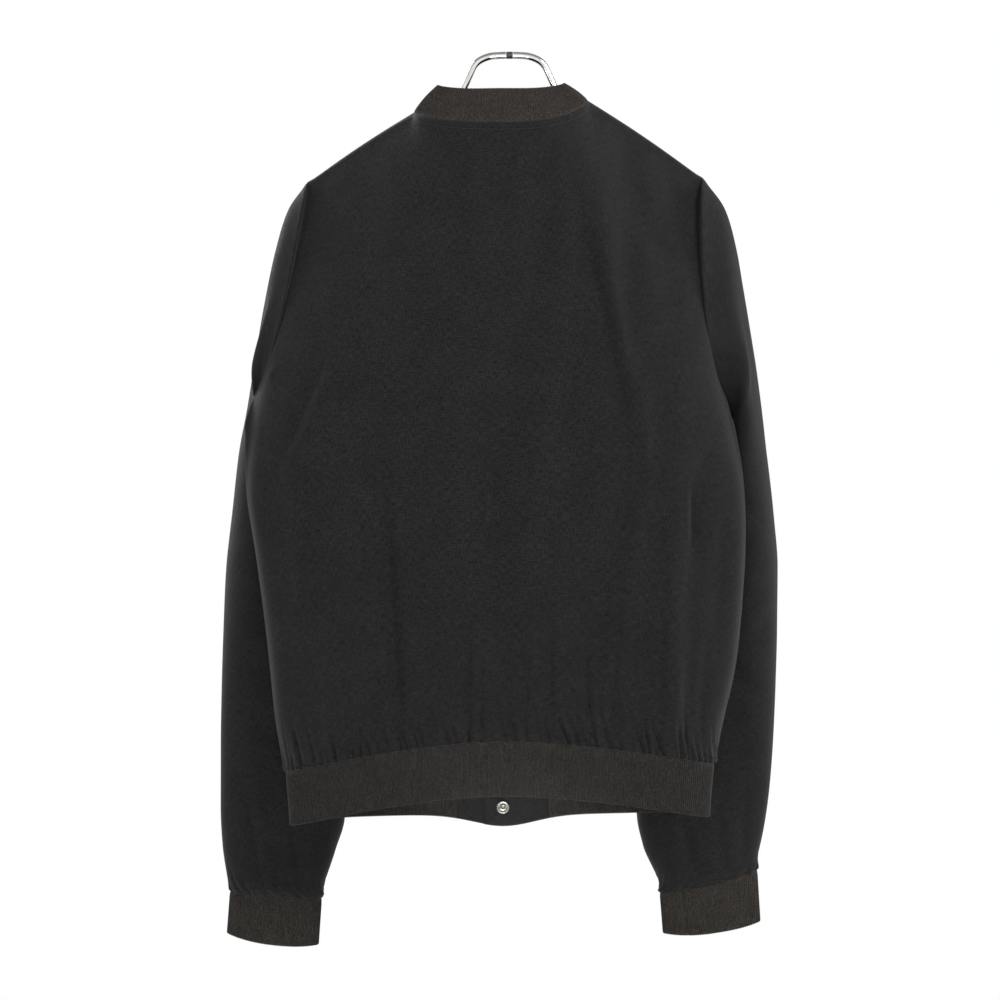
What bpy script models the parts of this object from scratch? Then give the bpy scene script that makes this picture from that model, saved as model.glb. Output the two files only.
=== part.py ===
"""Bomber jacket hanging on a rod hanger.

Woven cloth back, fronts, plackets, hem tabs and sleeves, with a knitted rib collar, cuffs and hem band,
closed by snaps down the front. It hangs empty on a bent rod hanger, whose neck arch stands out of the collar.

Sizes are in millimetres and turned into metres where a mesh is made. +Z is up, the front faces -Y, and +X
is the wearer's left. The origin is the top of the hanger's arch. The jacket hangs a little off the hanger's
middle, so its own sideways sizes are counted from CENTRE_X and stated for each side of the wearer.
"""

import math

import bmesh
import bpy
import numpy as np
from mathutils import Matrix, Vector

MM = 0.001

# Cloth and knit.
CENTRE_X = 6.0  # the jacket's centre line, from the hanger's
CLOTH = 1.2  # wall of the woven cloth
KNIT = 2.2  # wall of the rib knit
SEAM_GAP = 0.3  # between two pieces at a seam
LEFT, RIGHT = 1, -1  # the wearer's sides, as the sign of x
NAMES = {LEFT: "left", RIGHT: "right"}

# Neck, shoulders and underarms: the points that the pattern pieces meet in, for each side.
POINTS = {
    LEFT: {
        "neck": (82.0, 0.0, -56.0),
        "shoulder": (181.0, 0.0, -122.0),
        "underarm": (225.0, -2.0, -314.0),
        "hem_z": -662.0,
        "armhole_hollow": 24.0,
        "armhole_skew": 1.3,
    },
    RIGHT: {
        "neck": (78.0, 0.0, -45.0),
        "shoulder": (185.0, 0.0, -118.0),
        "underarm": (204.0, -2.0, -312.0),
        "hem_z": -654.0,
        "armhole_hollow": 18.0,
        "armhole_skew": 0.7,
    },
}
BACK_NECK_Y, BACK_NECK_Z = 52.0, -71.0
FRONT_NECK_Y, FRONT_NECK_Z = -62.0, -125.0
ARMHOLE_BACK, ARMHOLE_FRONT = 38.0, 54.0  # how far it reaches behind and before its middle
SHOULDER_ROUND = 2.0  # rise of the shoulder seam over a straight line

# The body's side folds, below the underarm: the fold's place on each side, and the front's way round the
# hanging sleeve (tuck, then flank).
SIDE = {
    "z": (-665, -616, -562, -507, -448, -405, -346, -330),
    "left_x": (199, 208, 213, 219, 227, 233, 233, 229),
    "right_x": (192, 201, 213, 218, 221, 220, 212, 207),
    "y": (0, 5, 10, 14, 18, 19, 18, 13),
}
SECTION = {
    "z": (-665, -616, -562, -507, -405, -346, -314, -290, -240, -180, -125),
    "tuck_x": (180, 186, 182, 178, 174, 177, 186, 184, 172, 165, 150),
    "tuck_y": (-26, -22, -14, -4, 4, 6, -17, -50, -64, -54, -12),
    "flank_x": (146, 152, 156, 160, 164, 163, 156, 144, 130, 125, 110),
    "flank_y": (-50, -54, -57, -61, -62, -62, -68, -76, -77, -66, -24),
    "front_y": (-63, -71, -77, -82, -88, -89, -89, -88, -84, -76, -64),
    "back_y": (61, 66, 70, 73, 76, 76, 75, 73, 69, 63, 57),
    "round_y": (0, 5, 10, 14, 17, 18, 20, 24, 34, 38, 38),  # where the back's round starts, at its sides
}
BACK_ROUND = 2.4  # how square the back's section is, 2 being an ellipse

# Hem: the seam to the rib band.
BACK_HEM_Z = -630.0  # at the centre back, which hangs highest
FRONT_HEM_Z = -660.0
FRONT_HEM_DROP, FRONT_HEM_DROP_WIDTH = 11.0, 42.0  # the front edges hang lower
RIB_HEIGHT = 49.0
RIB_DRAW_IN = 4.0  # how much narrower the band is at its lower edge, each side
TAB_WIDTH = 43.0  # from the centre line to the seam between hem tab and rib
OVERLAP = 18.0  # half the width that the left front laps over the right
LAP_OUT = 3.4  # how far the upper layer lies outside the lower one
LAP_RAMP = 45.0  # over this width the upper front comes out to that

# Collar.
COLLAR_ANGLES = (-90, -45, 0, 45, 90)  # round the neck, from the front over the side to the back
COLLAR_LEAN = (9, 14, 23, 15, 8)  # how far its top edge leans in
COLLAR_RISE = (36, 34, 27, 30, 32)  # and stands over the seam
COLLAR_BOW = 1.6  # how far it rounds out between its edges

# Gathers above the hem rib and above the cuffs.
GATHER_DEPTH = 1.9
CUFF_GATHER_DEPTH = 1.5

# Sleeves, ring by ring from the armhole to the cuff seam: the outer line, the inner line and the depth.
SLEEVE = {
    "outer_z": (-145, -181, -217, -254, -291, -328, -366, -422, -479, -535, -592, -649, -706, -745, -781),
    "left_outer": (198, 210, 218, 226, 233, 240, 248, 255, 262, 265, 267, 268, 268, 266, 260),
    "right_outer": (205, 216, 223, 230, 237, 243, 248, 255, 260, 260, 259, 257, 253, 248, 241),
    "inner_z": (-327, -338, -349, -360, -371, -383, -398, -433, -483, -537, -593, -651, -712, -748, -785),
    "left_inner": (224, 220, 215, 209, 203, 198, 193, 187, 179, 172, 163, 154, 150, 159, 171),
    "right_inner": (205, 203, 200, 197, 194, 191, 188, 183, 176, 165, 152, 138, 127, 133, 149),
    "outer_y": (-5, -14, -25, -37, -48, -58, -66, -72, -78, -82, -84, -85, -84, -82, -80),
    "inner_y": (-13, -24, -35, -43, -53, -61, -68, -74, -79, -82, -84, -85, -84, -82, -80),
    "back": (36, 38, 42, 46, 51, 57, 61, 61, 55, 46, 40, 34, 30, 28, 24),
    "front": (56, 62, 70, 76, 80, 80, 78, 73, 66, 56, 46, 38, 33, 30, 26),
    "rear_out": (11, 16, 19, 20, 20, 15, 7, 2, 0, 0, 0, 0, 0, 0, 0),
}
SLEEVE_SQUARE = 2.2  # how square a sleeve's section is, 2 being an ellipse

# Cuffs: where the seam lies at their inner and outer sides, and how far the lower edge lies from it.
CUFF = {
    LEFT: {"outer": (258.5, -783.0), "inner": (172.0, -790.0), "outer_drop": 40.0, "inner_drop": 44.0, "lean": 3.0},
    RIGHT: {"outer": (241.0, -763.0), "inner": (149.0, -785.0), "outer_drop": 49.0, "inner_drop": 38.0, "lean": -3.0},
}
CUFF_Y = -80.0
CUFF_DEPTH = 14.0  # half, front to back
CUFF_DIP = 4.5  # the lower edge hangs deeper in its middle
CUFF_RINGS = 0.6  # the sleeve's last table ring lies this far above the seam, in rings
SLEEVE_END_RISE = 8.0  # and this far in height

# Largest folds. Each runs from its first end to its second; a ridge stands out, a valley (negative) goes in.
FOLD_COLUMNS = ("x1", "z1", "x2", "z2", "width", "depth")
BACK_FOLDS = (
    (-73, -105, -94, -253, 13, 3.2),
    (-94, -253, -122, -372, 13, 3.6),
    (-64, -165, -83, -253, 11, -2.6),
    (-83, -253, -110, -345, 11, -3.2),
    (-112, -126, -134, -190, 12, -2.4),
    (-42, -200, -20, -400, 15, 3.0),
    (-20, -400, 1, -590, 15, 3.2),
    (-25, -190, 12, -360, 12, -2.2),
    (12, -360, 20, -540, 12, -3.0),
    (-104, -400, -68, -595, 11, -3.4),
    (-120, -410, -92, -580, 12, 3.2),
    (-146, -395, -149, -615, 12, 3.6),
    (-170, -400, -166, -470, 9, -2.6),
    (117, -415, 101, -608, 12, -4.4),
    (134, -410, 122, -600, 13, 3.8),
    (158, -470, 152, -560, 12, -2.6),
    (172, -290, 206, -372, 9, -3.0),
    (60, -300, 68, -560, 22, 1.8),
)
FRONT_FOLDS = (
    (118, -150, 96, -330, 16, -2.8),
    (92, -140, 66, -360, 18, 2.8),
    (128, -330, 104, -600, 14, 3.2),
    (96, -380, 84, -610, 12, -3.2),
    (-112, -150, -94, -320, 16, -2.8),
    (-84, -140, -64, -340, 18, 2.8),
    (-126, -340, -110, -600, 14, 3.4),
    (-92, -400, -76, -600, 12, -3.0),
)
# Creases across the sleeves, by height and by angle round the sleeve (0 outside, 90 behind).
SLEEVE_FOLDS = {
    "angle": (60, 95, 130, 75, 250, 285, 300, 110, 250),
    "z": (-250, -300, -430, -560, -300, -420, -600, -690, -700),
    "length": (80, 70, 90, 110, 90, 100, 110, 60, 70),
    "width": (26, 24, 26, 24, 26, 28, 24, 22, 24),
    "depth": (-2.6, 2.4, -2.8, -2.6, -2.6, 2.4, -2.8, 2.2, -2.2),
}

# Snaps down the front, from the neck to the hem tab.
SNAP_TOP_Z, SNAP_LOWEST_Z, SNAP_TAB_Z = -140.0, -612.0, -702.0
SNAP_COUNT = 6  # on the plackets, with one more on the hem tabs
SNAP_CAP_RADIUS, SNAP_CAP_HEIGHT = 7.2, 2.0
SNAP_RING_RADIUS, SNAP_RING_HOLE, SNAP_RING_HEIGHT = 6.2, 1.1, 1.3

# Hanger: half of its bent rod, from beside the joiner, along the arch and down into the shoulder bar.
ROD_RADIUS = 3.3
JOINER_LENGTH = 6.0
ROD = {
    "x": (3.3, 10, 18.4, 27.1, 32.3, 36.2, 40, 44, 48.5, 54.5, 64, 100, 166),
    "z": (-3.3, -3.6, -4.5, -8.1, -13.3, -21.2, -29.5, -38, -47, -54, -60, -79, -115.5),
}

# Mesh density.
BACK_COLUMNS, FRONT_COLUMNS, SLEEVE_COLUMNS, CUFF_COLUMNS = 18, 18, 20, 28
BODY_LEVELS, ARMHOLE_LEVELS = 8, 10
ROD_SIDES, SNAP_SIDES = 10, 12
TINY = 1e-4

COLOURS = {
    "cloth": ((0.157, 0.152, 0.157), 0.85, 0.0),
    "rib": ((0.185, 0.174, 0.164), 0.9, 0.0),
    "snap": ((0.36, 0.36, 0.34), 0.35, 0.9),
    "chrome": ((0.78, 0.77, 0.77), 0.12, 1.0),
    "joiner": ((0.2, 0.19, 0.2), 0.4, 0.3),
}


# ---------------------------------------------------------------- curves


def through(xs, ys, x):
    """A smooth curve through the points (xs, ys) that never overshoots them, read at x."""
    xs, ys = np.asarray(xs, float), np.asarray(ys, float)
    x = np.clip(np.asarray(x, float), xs[0], xs[-1])
    width, rise = np.diff(xs), np.diff(ys) / np.diff(xs)
    slope = np.zeros(len(xs))
    same = rise[1:] * rise[:-1] > 0
    slope[1:-1][same] = 2 * (rise[1:] * rise[:-1])[same] / (rise[1:] + rise[:-1])[same]
    slope[0], slope[-1] = rise[0], rise[-1]
    i = np.clip(np.searchsorted(xs, x, side="right") - 1, 0, len(width) - 1)
    h, f = width[i], (x - xs[i]) / width[i]
    start = ys[i] * (1 + 2 * f) * (1 - f) ** 2 + slope[i] * h * f * (1 - f) ** 2
    end = ys[i + 1] * f**2 * (3 - 2 * f) - slope[i + 1] * h * f**2 * (1 - f)
    return start + end


def ease(f):
    """0 to 1 with a soft start and end."""
    f = np.clip(f, 0, 1)
    return f * f * (3 - 2 * f)


def spline(points, count=12):
    """A smooth line through the points, as many points on each stretch."""
    points = [np.asarray(p, float) for p in points]
    ends = [2 * points[0] - points[1], *points, 2 * points[-1] - points[-2]]
    line = []
    for a, b, c, d in zip(ends, ends[1:], ends[2:], ends[3:]):
        for f in np.arange(count) / count:
            line.append(
                0.5 * (2 * b + (c - a) * f + (2 * a - 5 * b + 4 * c - d) * f**2 + (3 * b - a - 3 * c + d) * f**3)
            )
    return np.array([*line, points[-1]])


def at_fraction(line, fraction):
    """Points at these fractions of a line's length."""
    lengths = np.concatenate([[0], np.cumsum(np.linalg.norm(np.diff(line, axis=0), axis=1))])
    wanted = np.asarray(fraction, float) * lengths[-1]
    return np.stack([np.interp(wanted, lengths, line[:, k]) for k in range(line.shape[1])], axis=-1)


def fold_height(folds, x, z):
    """How far the folds move the cloth out at (x, z)."""
    total = np.zeros(np.broadcast(x, z).shape)
    for fold in folds:
        row = dict(zip(FOLD_COLUMNS, fold))
        along = np.array([row["x2"] - row["x1"], row["z2"] - row["z1"]], float)
        length = np.linalg.norm(along)
        along /= length
        dx, dz = x - row["x1"], z - row["z1"]
        place = (dx * along[0] + dz * along[1]) / length
        across = dx * along[1] - dz * along[0]
        ends = ease((place + 0.25) / 0.5) * ease((1.25 - place) / 0.5)
        total = total + row["depth"] * ends * np.exp(-((across / row["width"]) ** 2))
    return total


# ---------------------------------------------------------------- the jacket's form


def armhole(side, angle):
    """A point of the armhole seam. The angle is 0 at the shoulder, grows backwards, and is pi underarm."""
    point = POINTS[side]
    shoulder, underarm = np.array(point["shoulder"]), np.array(point["underarm"])
    angle = np.asarray(angle, float)
    down = (1 - np.cos(angle)) / 2
    reach = np.where(np.sin(angle) > 0, ARMHOLE_BACK, ARMHOLE_FRONT) * np.sin(angle)
    hollow = point["armhole_hollow"] * np.abs(np.sin(angle)) * (1 - point["armhole_skew"] * down)
    x = shoulder[0] + (underarm[0] - shoulder[0]) * down - hollow
    y = shoulder[1] + (underarm[1] - shoulder[1]) * down + reach
    z = shoulder[2] + (underarm[2] - shoulder[2]) * down
    return np.stack([x, y, z], axis=-1)


UNDERARM_LEVEL = 0.6  # the body's level from 0 at the hem to 1 at the shoulder, at the underarm


def body_edge(side, level, back):
    """The body panel's outer edge: the side fold up to the underarm, then the armhole."""
    point = POINTS[side]
    if level >= UNDERARM_LEVEL:
        angle = math.pi * (1 - level) / (1 - UNDERARM_LEVEL)
        return armhole(side, angle if back else -angle)
    low, high = point["hem_z"], point["underarm"][2]
    z = low + (high - low) * level / UNDERARM_LEVEL
    column = "left_x" if side == LEFT else "right_x"
    x = through((*SIDE["z"], high), (*SIDE[column], point["underarm"][0]), z)
    y = through((*SIDE["z"], high), (*SIDE["y"], point["underarm"][1]), z)
    return np.array([float(x), float(y), z])


def mean_height(level):
    """The height of a level at the body's edges, the mean of both sides."""
    return (body_edge(LEFT, level, True)[2] + body_edge(RIGHT, level, True)[2]) / 2


def height_share(level):
    """How far up a level lies between hem and shoulder, 0 to 1."""
    low, high = mean_height(0.0), mean_height(1.0)
    return (mean_height(level) - low) / (high - low)


def section_size(name, level):
    """One of the body section's sizes at a level."""
    return float(through(SECTION["z"], SECTION[name], mean_height(level)))


def hem_z(side, x, back):
    """The height of the hem seam at a distance x from the centre line."""
    edge = POINTS[side]["hem_z"]
    share = np.clip(np.abs(x) / 200.0, 0, 1)
    if back:
        return BACK_HEM_Z + (edge - BACK_HEM_Z) * share**1.7
    drop = FRONT_HEM_DROP * np.exp(-((x / FRONT_HEM_DROP_WIDTH) ** 2))
    return FRONT_HEM_Z + (edge - FRONT_HEM_Z) * share**2 - drop


def neck_share(side):
    """The neck point's place along the back's columns, which run from 1 at the edge to 0 at the centre."""
    return POINTS[side]["neck"][0] / POINTS[side]["shoulder"][0]


def back_top(side, share):
    """The back's top edge: the shoulder seam and, inside the neck point, the neck seam."""
    point = POINTS[side]
    neck, shoulder = np.array(point["neck"]), np.array(point["shoulder"])
    inner = neck_share(side)
    x = shoulder[0] * share
    along = np.clip((share - inner) / (1 - inner), 0, 1)
    seam_y = neck[1] + (shoulder[1] - neck[1]) * along
    seam_z = neck[2] + (shoulder[2] - neck[2]) * along + SHOULDER_ROUND * np.sin(math.pi * along)
    round_in = np.clip(1 - np.clip(share / inner, 0, 1) ** BACK_ROUND, 0, 1) ** (1 / BACK_ROUND)
    neck_y = BACK_NECK_Y * round_in
    neck_z = neck[2] + (BACK_NECK_Z - neck[2]) * round_in**1.4
    outside = share >= inner
    return np.stack([x, np.where(outside, seam_y, neck_y), np.where(outside, seam_z, neck_z)], axis=-1)


FRONT_NECK_SHARE = 0.5  # the neck point's place along the front's columns, 0 at the edge, 1 at the centre


def front_top(side, share):
    """The front's top edge: the shoulder seam and then the front neck seam."""
    point = POINTS[side]
    neck, shoulder = np.array(point["neck"]), np.array(point["shoulder"])
    along = np.clip(share / FRONT_NECK_SHARE, 0, 1)
    turn = np.clip((share - FRONT_NECK_SHARE) / (1 - FRONT_NECK_SHARE), 0, 1) * math.pi / 2
    seam = shoulder + (neck - shoulder) * along[..., None]
    seam[..., 2] += SHOULDER_ROUND * np.sin(math.pi * along)
    x = neck[0] * np.cos(turn)
    y = neck[1] + (FRONT_NECK_Y - neck[1]) * np.sin(turn) ** 1.2
    z = neck[2] + (FRONT_NECK_Z - neck[2]) * np.sin(turn) ** 1.5
    curve = np.stack([x, y, z], axis=-1)
    return np.where((share < FRONT_NECK_SHARE)[..., None], seam, curve)


def top_weight(share):
    """How much a row keeps the top edge's shape, from 1 at the top to 0 a quarter of the way down."""
    return 1 - math.sin(min(1, (1 - share) / 0.26) * math.pi / 2) ** 1.2


def back_form(side, share, level):
    """The back without its folds. share runs from 1 at the edge to 0 at the centre line."""
    share = np.asarray(share, float)
    edge, up = body_edge(side, level, True), height_share(level)
    top, keep = back_top(side, share), top_weight(up)
    z = hem_z(side, share * edge[0], True)
    z = z + (top[:, 2] - z) * up
    edge_top, edge_hem = POINTS[side]["shoulder"][2], hem_z(side, edge[0], True)
    z = z + (edge[2] - edge_hem - (edge_top - edge_hem) * up) * share**3
    # The round of the neck widens downwards until it is the whole back.
    wide = keep * neck_share(side) + (1 - keep)
    round_in = np.clip(1 - np.clip(share / wide, 0, 1) ** BACK_ROUND, 0, 1) ** (1 / BACK_ROUND)
    armhole_part = ease((level - UNDERARM_LEVEL - 0.06) / 0.1)
    start = armhole_part * edge[1] + (1 - armhole_part) * section_size("round_y", level)
    depth = keep * BACK_NECK_Y + (1 - keep) * section_size("back_y", level) - start
    # The edge's own way in and out, as at the underarm, shows only near it.
    y = start + depth * round_in + (edge[1] - start) * share**9
    return np.stack([edge[0] * share, y, z], axis=-1)


def front_section(side, level):
    """The front's section at a level, as a smooth line from its outer edge to the centre line."""
    edge = body_edge(side, level, False)
    size = {name: section_size(name, level) for name in ("tuck_x", "tuck_y", "flank_x", "flank_y", "front_y")}
    middle = (0.42 * size["flank_x"], size["front_y"] + 2.0)
    line = spline(
        [
            edge[:2],
            (size["tuck_x"], size["tuck_y"]),
            (size["flank_x"], size["flank_y"]),
            middle,
            (0.0, size["front_y"]),
            (-middle[0], middle[1]),
        ]
    )
    return line[line[:, 0] >= -TINY]


def front_form(side, share, level):
    """The front without its folds. share runs from 0 at the outer edge to 1 at the centre line."""
    share = np.asarray(share, float)
    edge, up = body_edge(side, level, False), height_share(level)
    section = at_fraction(front_section(side, level), share)
    top, keep = front_top(side, share), top_weight(up)
    low = at_fraction(front_section(side, 0.0), share)
    z = hem_z(side, low[:, 0], False)
    z = z + (top[:, 2] - z) * up
    shoulder = POINTS[side]["shoulder"]
    edge_hem = hem_z(side, body_edge(side, 0.0, False)[0], False)
    z = z + (edge[2] - edge_hem - (shoulder[2] - edge_hem) * up) * (1 - share) ** 3
    x = (1 - keep) * section[:, 0] + keep * top[:, 0] * edge[0] / shoulder[0]
    y = (1 - keep) * section[:, 1] + keep * (top[:, 1] + edge[1] * (1 - share) ** 3)
    return np.stack([x, y, z], axis=-1)


def front_share_at(side, x, level):
    """The column of the front that lies this far from the centre line."""
    shares = np.linspace(0.5, 1.0, 60)
    xs = front_form(side, shares, level)[:, 0]
    return float(np.interp(-x, -xs, shares))


def world(points, side):
    """Counted from the jacket's centre line on one side, to the part's own frame."""
    points = np.array(points, float)
    points[..., 0] = CENTRE_X + side * points[..., 0]
    return points


def normals_of(form, columns, level, step_column=0.02, step_level=0.012):
    """The form's unit normals on one row, from its neighbours' points."""
    low, high = max(level - step_level, 0.0), min(level + step_level, 1.0)
    before, after = np.clip(columns - step_column, 0, 1), np.clip(columns + step_column, 0, 1)
    across = form(after, level) - form(before, level)
    along = form(columns, high) - form(columns, low)
    normal = np.cross(across, along)
    return normal / np.linalg.norm(normal, axis=1)[:, None]


def gather_wave(count, start, depth):
    """Heights of one row of gathers: out and in by turns, each as uneven as hand gathering."""
    index = np.arange(count) + start
    uneven = 0.75 + 0.25 * np.sin(index * 1.7) + 0.2 * np.sin(index * 0.61 + 1)
    return np.where(index % 2 == 0, 1.0, -1.0) * uneven * depth


# ---------------------------------------------------------------- meshes


def srgb(colour):
    """A screen colour as a linear one."""
    return tuple(c / 12.92 if c <= 0.04045 else ((c + 0.055) / 1.055) ** 2.4 for c in colour)


def material(name):
    """The Principled material of this name."""
    found = bpy.data.materials.get(name)
    if found:
        return found
    colour, roughness, metallic = COLOURS[name]
    made = bpy.data.materials.new(name)
    made.use_nodes = True
    shader = made.node_tree.nodes["Principled BSDF"]
    shader.inputs["Base Color"].default_value = (*srgb(colour), 1)
    shader.inputs["Roughness"].default_value = roughness
    shader.inputs["Metallic"].default_value = metallic
    made.diffuse_color = (*srgb(colour), 1)
    return made


def make_object(name, points, faces, finish, smooth_angle=40):
    """One named object from points in millimetres, its faces turned outwards."""
    mesh = bpy.data.meshes.new(name)
    mesh.from_pydata((np.asarray(points) * MM).tolist(), [], faces)
    work = bmesh.new()
    work.from_mesh(mesh)
    bmesh.ops.recalc_face_normals(work, faces=work.faces)
    work.to_mesh(mesh)
    work.free()
    mesh.shade_smooth()
    mesh.set_sharp_from_angle(angle=math.radians(smooth_angle))
    mesh.materials.append(material(finish))
    made = bpy.data.objects.new(name, mesh)
    bpy.context.scene.collection.objects.link(made)
    return made


def strip(first, first_places, second, second_places, ring=False):
    """Triangles between two rows of points, which may hold different numbers. A ring's halves mirror each other."""
    i, j, faces = 0, 0, []
    while i < len(first) - 1 or j < len(second) - 1:
        slack = -TINY if ring and first_places[i] < 0.5 - TINY else TINY
        take_first = j == len(second) - 1 or (
            i < len(first) - 1 and first_places[i + 1] - slack <= second_places[j + 1]
        )
        if take_first:
            faces.append((first[i], first[i + 1], second[j]))
            i += 1
        else:
            faces.append((first[i], second[j + 1], second[j]))
            j += 1
    return faces


def edge_faces(out, into, points):
    """A free edge's faces. Both pieces at a seam split each step along the same diagonal, from its lower end."""
    faces = []
    for k in range(len(out) - 1):
        low, high = (0, 1) if np.dot(points[out[k]] - points[out[k + 1]], (0.17, 0.31, 1.0)) < 0 else (1, 0)
        a, b = out[k + low], into[k + high]
        faces.append((a, out[k + high], b) if low == 0 else (b, out[k + high], a))
        faces.append((a, b, into[k + low]) if low == 0 else (into[k + low], b, a))
    return faces


def cloth_wall(name, rows, finish, ring=False):
    """A closed wall of cloth from rows of (places, outer points, inner points), the first row lowest."""
    points, outer, inner, count = [], [], [], 0
    for wall, indices in ((1, outer), (2, inner)):
        for row in rows:
            indices.append(list(range(count, count + len(row[wall]))))
            points.extend(row[wall])
            count += len(row[wall])
    faces = []
    for low, high in zip(range(len(rows) - 1), range(1, len(rows))):
        for indices, turned in ((outer, False), (inner, True)):
            first, second = list(indices[low]), list(indices[high])
            first_places, second_places = list(rows[low][0]), list(rows[high][0])
            if ring:
                first, second = [*first, first[0]], [*second, second[0]]
                first_places, second_places = [*first_places, 1.0], [*second_places, 1.0]
            made = strip(first, first_places, second, second_places, ring)
            faces.extend([face[::-1] for face in made] if turned else made)
    for row in (0, -1):
        out, into = list(outer[row]), list(inner[row])
        if ring:
            out, into = [*out, out[0]], [*into, into[0]]
        faces.extend(edge_faces(out, into, points))
    if not ring:
        for end in (0, -1):
            faces.extend(edge_faces([row[end] for row in outer], [row[end] for row in inner], points))
    return make_object(name, points, faces, finish)


def doubled(columns):
    """The columns with one more halfway between each two."""
    middle = (columns[1:] + columns[:-1]) / 2
    return np.sort(np.concatenate([columns, middle]))


# ---------------------------------------------------------------- body panels


def body_levels():
    """Levels from the hem seam to the shoulder: close in the gathers, then even, then round the armhole."""
    gathers = np.array([0.0, 0.014, 0.034, 0.062])
    below = np.array([*np.linspace(0.115, 0.535, BODY_LEVELS - 1), 0.57, UNDERARM_LEVEL])
    armhole_part = np.linspace(UNDERARM_LEVEL, 1.0, ARMHOLE_LEVELS + 1)[1:]
    return gathers, np.concatenate([below, armhole_part])


def back_columns(side):
    """Columns from 1 at the edge to 0 at the centre, closer where the back turns, one of them at the neck."""
    turn = np.linspace(1, 0, BACK_COLUMNS + 1)
    columns = 0.45 * np.sin(turn * math.pi / 2) + 0.55 * turn
    columns[np.argmin(np.abs(columns - neck_share(side)))] = neck_share(side)
    return columns


def seam_normal(side, kind, at):
    """The direction that both pieces at a seam take their thickness in, for the angle or level along it."""
    at = np.atleast_1d(np.asarray(at, float))
    if kind == "side":
        # Halfway between the front's and the back's own directions, which part more and more upwards.
        normal = np.stack([np.ones_like(at), -0.55 * ease(at / 0.35), 0 * at], axis=-1)
    elif kind == "armhole":
        # Underarm it turns outwards behind, and in front towards the body, where the sleeve hangs against it.
        low, ahead = np.clip(-np.cos(at), 0, 1), np.clip(-np.sin(at) / 0.3, 0, 1)
        sideways = low * (0.15 * (1 - ahead) - 0.1 * ahead)
        at_point = low * np.clip(1 - np.abs(np.sin(at)) / 0.3, 0, 1)
        normal = np.stack([sideways, np.sin(at) - 0.3 * at_point, np.cos(at)], axis=-1)
    elif kind == "shoulder":
        slope = np.array(POINTS[side]["neck"]) - np.array(POINTS[side]["shoulder"])
        normal = np.tile([slope[2], 0, -slope[0]], (len(at), 1))
    else:
        # Round the neck: the angle is 0 at the wearer's side, grows backwards, and is negative in front.
        normal = np.stack([0.55 * np.cos(at), 0.93 * np.sin(at), 0.3 + 0.53 * np.cos(at)], axis=-1)
    normal = normal / np.linalg.norm(normal, axis=1)[:, None]
    return normal * np.array([side, 1, 1])


def edge_normal(side, level, back):
    """The seam normal of a body panel's outer edge at a level."""
    if level < UNDERARM_LEVEL - TINY:
        return seam_normal(side, "side", level)[0]
    angle = math.pi * (1 - level) / (1 - UNDERARM_LEVEL)
    return seam_normal(side, "armhole", angle if back else -angle)[0]


def neck_normals(side, points):
    """The seam normals of points on the neck seam."""
    angle = np.arctan2(points[:, 1] / 55.0, np.abs(points[:, 0] - CENTRE_X) / 80.0)
    return seam_normal(side, "neck", angle)


def away_from_seam(edge, beside, ring=False):
    """The points of a free edge moved towards those beside it by half a seam gap, square to the edge."""
    if ring:
        along = np.roll(edge, -1, axis=0) - np.roll(edge, 1, axis=0)
    else:
        along = np.gradient(edge, axis=0)
    along /= np.linalg.norm(along, axis=1)[:, None]
    step = beside - edge
    step -= np.sum(step * along, axis=1)[:, None] * along
    return edge + step / np.linalg.norm(step, axis=1)[:, None] * SEAM_GAP / 2 * 1.05


def pull_in(rows, ring=False):
    """The rows with the wall's free edges moved in by half a seam gap. A ring has none at its rows' ends."""
    rows = [[np.array(part, float) for part in row] for row in rows]
    for wall in (1, 2):
        for end, near in () if ring else ((0, 1), (-1, -2)):
            edge = np.array([row[wall][end] for row in rows])
            beside = np.array([row[wall][near] for row in rows])
            for row, point in zip(rows, away_from_seam(edge, beside)):
                row[wall][end] = point
        for end, near in ((0, 1), (-1, -2)):
            places = rows[end][0]
            beside = [np.interp(places, rows[near][0], rows[near][wall][:, k]) for k in range(3)]
            rows[end][wall] = away_from_seam(rows[end][wall], np.stack(beside, axis=-1), ring)
    return rows


def back_half(side, columns, level, waves):
    """Half of the back at one level, from its outer edge to the centre line."""

    def form(c, at):
        return back_form(side, c, at)

    base, normal = form(columns, level), normals_of(form, columns, level)
    normal[normal[:, 1] < 0] *= -1
    base, normal = world(base, side), normal * np.array([side, 1, 1])
    normal[0] = edge_normal(side, level, True)
    if level == 1.0:
        outside = columns >= neck_share(side) - TINY
        normal = np.where(outside[:, None], seam_normal(side, "shoulder", columns), neck_normals(side, base))
    fade = ease((1 - columns) / 0.1) * ease((1 - height_share(level)) / 0.08)
    lift = fold_height(BACK_FOLDS, base[:, 0], base[:, 2]) * fade
    if waves is not None:
        lift = lift + gather_wave(len(columns), side, waves) * ease((1 - columns) / 0.03)
    out = base + normal * lift[:, None]
    return 0.5 - side * columns / 2, out, out - normal * CLOTH


def back_row(columns_left, columns_right, level, waves=None):
    """The whole back at one level, from the wearer's left edge to the right: places, outer and inner points."""
    left = back_half(LEFT, columns_left, level, waves)
    right = [part[::-1][1:] for part in back_half(RIGHT, columns_right, level, waves)]
    return tuple(np.concatenate(pair) for pair in zip(left, right))


def make_back():
    gathers, levels = body_levels()
    left, right = back_columns(LEFT), back_columns(RIGHT)
    rows = []
    for level in gathers:
        depth = GATHER_DEPTH * (1 - level / gathers[-1] * 0.8)
        rows.append(back_row(doubled(left)[::-1], doubled(right)[::-1], level, depth))
    for level in levels:
        rows.append(back_row(left, right, level))
    return cloth_wall("back", pull_in(rows), "cloth")


def lap_ahead(x):
    """How far ahead the upper layer lies, at x from the centre line: all of it at the lap, none further out."""
    return LAP_OUT * ease(1 - (x - OVERLAP) / LAP_RAMP)


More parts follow.
